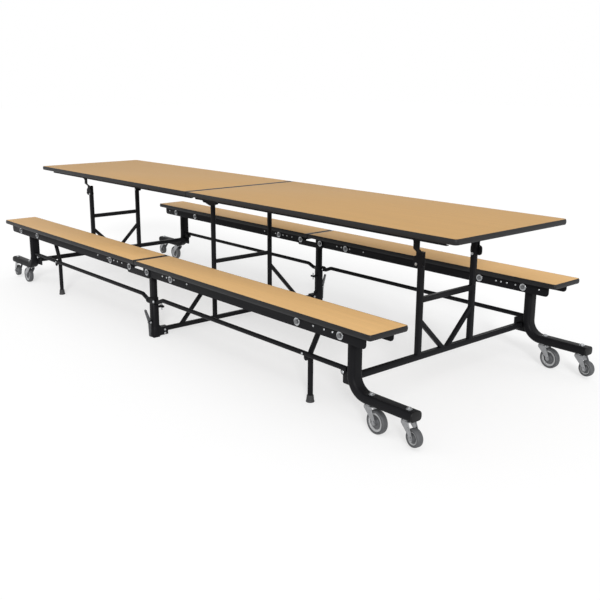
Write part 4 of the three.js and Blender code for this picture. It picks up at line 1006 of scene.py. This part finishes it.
class FOLDING_TABLE_OT_stage(bpy.types.Operator):
    """Pale floor, even light, a broad key, a low front light and the camera"""

    bl_idname = "folding_table.stage"
    bl_label = "Add the stage"

    camera_at = (3.7283, -2.8255, 1.3445)
    camera_aim = (-0.7455, 0.6223, -0.2388)
    camera_shift, sensor = (0.0327, -0.0253), 36
    # which way each light shines, and the angle that it fills
    key_way, key_angle = (-0.5, 0.42, -0.766), 40
    front_way, front_angle = (-0.745, 0.565, -0.354), 9
    # the floor's grey for the light it throws back, its grey where it is seen and how far it shines there
    floor_grey, seen_grey, seen_shine = 0.86, 0.44, 0.58

    def floor(self, side):
        """A flat square under the object."""
        corners = np.array([(-1, -1, 0), (1, -1, 0), (1, 1, 0), (-1, 1, 0)]) * side / 2
        mesh = bpy.data.meshes.new("floor")
        mesh.from_pydata(corners.tolist(), [], [(0, 1, 2, 3)])
        material = blank("White studio floor")
        # matt white paint for the light it throws back; where it is seen, over half of it shines by itself,
        # so that it is white and the shadows on it are pale
        full = (1, 1, 1)
        matt = node(material, "ShaderNodeBsdfDiffuse", {"Color": shade(full, self.floor_grey)}).outputs[0]
        pale = node(material, "ShaderNodeBsdfDiffuse", {"Color": shade(full, self.seen_grey)}).outputs[0]
        shine = node(material, "ShaderNodeEmission", {
            "Color": shade(full, 1), "Strength": self.seen_shine}).outputs[0]
        white = node(material, "ShaderNodeAddShader", {0: pale, 1: shine}).outputs[0]
        mix = node(material, "ShaderNodeMixShader", {0: seen_ray(material), 1: matt, 2: white}).outputs[0]
        node(material, "ShaderNodeOutputMaterial", {"Surface": mix})
        mesh.materials.append(material)
        made = bpy.data.objects.new("floor", mesh)
        bpy.context.scene.collection.objects.link(made)

    def world(self, strength):
        """White where it is seen, and an even grey light on the object."""
        world = bpy.data.worlds.new("Studio")
        bpy.context.scene.world = world
        world.use_nodes = True
        world.node_tree.nodes.clear()
        level = node(world, "ShaderNodeMapRange", {
            "Value": seen_ray(world), "To Min": strength, "To Max": 1.0}).outputs[0]
        white = node(world, "ShaderNodeBackground", {"Color": (1, 1, 1, 1), "Strength": level}).outputs[0]
        node(world, "ShaderNodeOutputWorld", {"Surface": white})

    def light(self, name, strength, way, angle):
        """A soft light from far off."""
        lamp = bpy.data.lights.new(name, "SUN")
        lamp.energy = strength
        lamp.angle = math.radians(angle)
        made = bpy.data.objects.new(name, lamp)
        made.rotation_euler = Vector(way).to_track_quat("-Z", "Y").to_euler()
        bpy.context.scene.collection.objects.link(made)

    def execute(self, context):
        settings = context.scene.table_stage
        self.floor(settings.floor)
        self.world(settings.ambient)
        self.light("Soft key", settings.key, self.key_way, self.key_angle)
        self.light("Front light", settings.front, self.front_way, self.front_angle)
        camera = bpy.data.cameras.new("Camera")
        camera.sensor_width = self.sensor
        camera.lens = settings.lens
        camera.shift_x, camera.shift_y = self.camera_shift
        view = bpy.data.objects.new("Camera", camera)
        view.location = self.camera_at
        view.rotation_euler = Vector(self.camera_aim).to_track_quat("-Z", "Y").to_euler()
        context.scene.collection.objects.link(view)
        context.scene.camera = view
        context.scene.view_settings.view_transform = "Standard"
        return {"FINISHED"}


OPERATORS = (
    FOLDING_TABLE_OT_leaves,
    FOLDING_TABLE_OT_frames,
    FOLDING_TABLE_OT_caster_legs,
    FOLDING_TABLE_OT_rods,
    FOLDING_TABLE_OT_mid_legs,
    FOLDING_TABLE_OT_casters,
    FOLDING_TABLE_OT_fasteners,
    FOLDING_TABLE_OT_stage,
)


class FOLDING_TABLE_PT_panel(bpy.types.Panel):
    """Buttons for the table's pieces"""

    bl_idname = "FOLDING_TABLE_PT_panel"
    bl_label = "Folding table"
    bl_space_type = "VIEW_3D"
    bl_region_type = "UI"
    bl_category = "Folding table"

    def draw(self, context):
        for operator in OPERATORS:
            self.layout.operator(operator.bl_idname)


SETTINGS = {
    "table_leaves": LeafSettings,
    "table_steel": SteelSettings,
    "table_fasteners": FastenerSettings,
    "table_casters": CasterSettings,
    "table_stage": StageSettings,
}


def register():
    for cls in (*SETTINGS.values(), *OPERATORS, FOLDING_TABLE_PT_panel):
        bpy.utils.register_class(cls)
    for name, cls in SETTINGS.items():
        setattr(bpy.types.Scene, name, bpy.props.PointerProperty(type=cls))


def unregister():
    for name in SETTINGS:
        delattr(bpy.types.Scene, name)
    for cls in (FOLDING_TABLE_PT_panel, *reversed(OPERATORS), *reversed(SETTINGS.values())):
        bpy.utils.unregister_class(cls)


def main():
    register()
    bpy.ops.folding_table.leaves()
    bpy.ops.folding_table.frames()
    bpy.ops.folding_table.caster_legs()
    bpy.ops.folding_table.rods()
    bpy.ops.folding_table.mid_legs()
    bpy.ops.folding_table.casters()
    bpy.ops.folding_table.fasteners()
    bpy.ops.folding_table.stage()


if __name__ == "__main__":
    main()
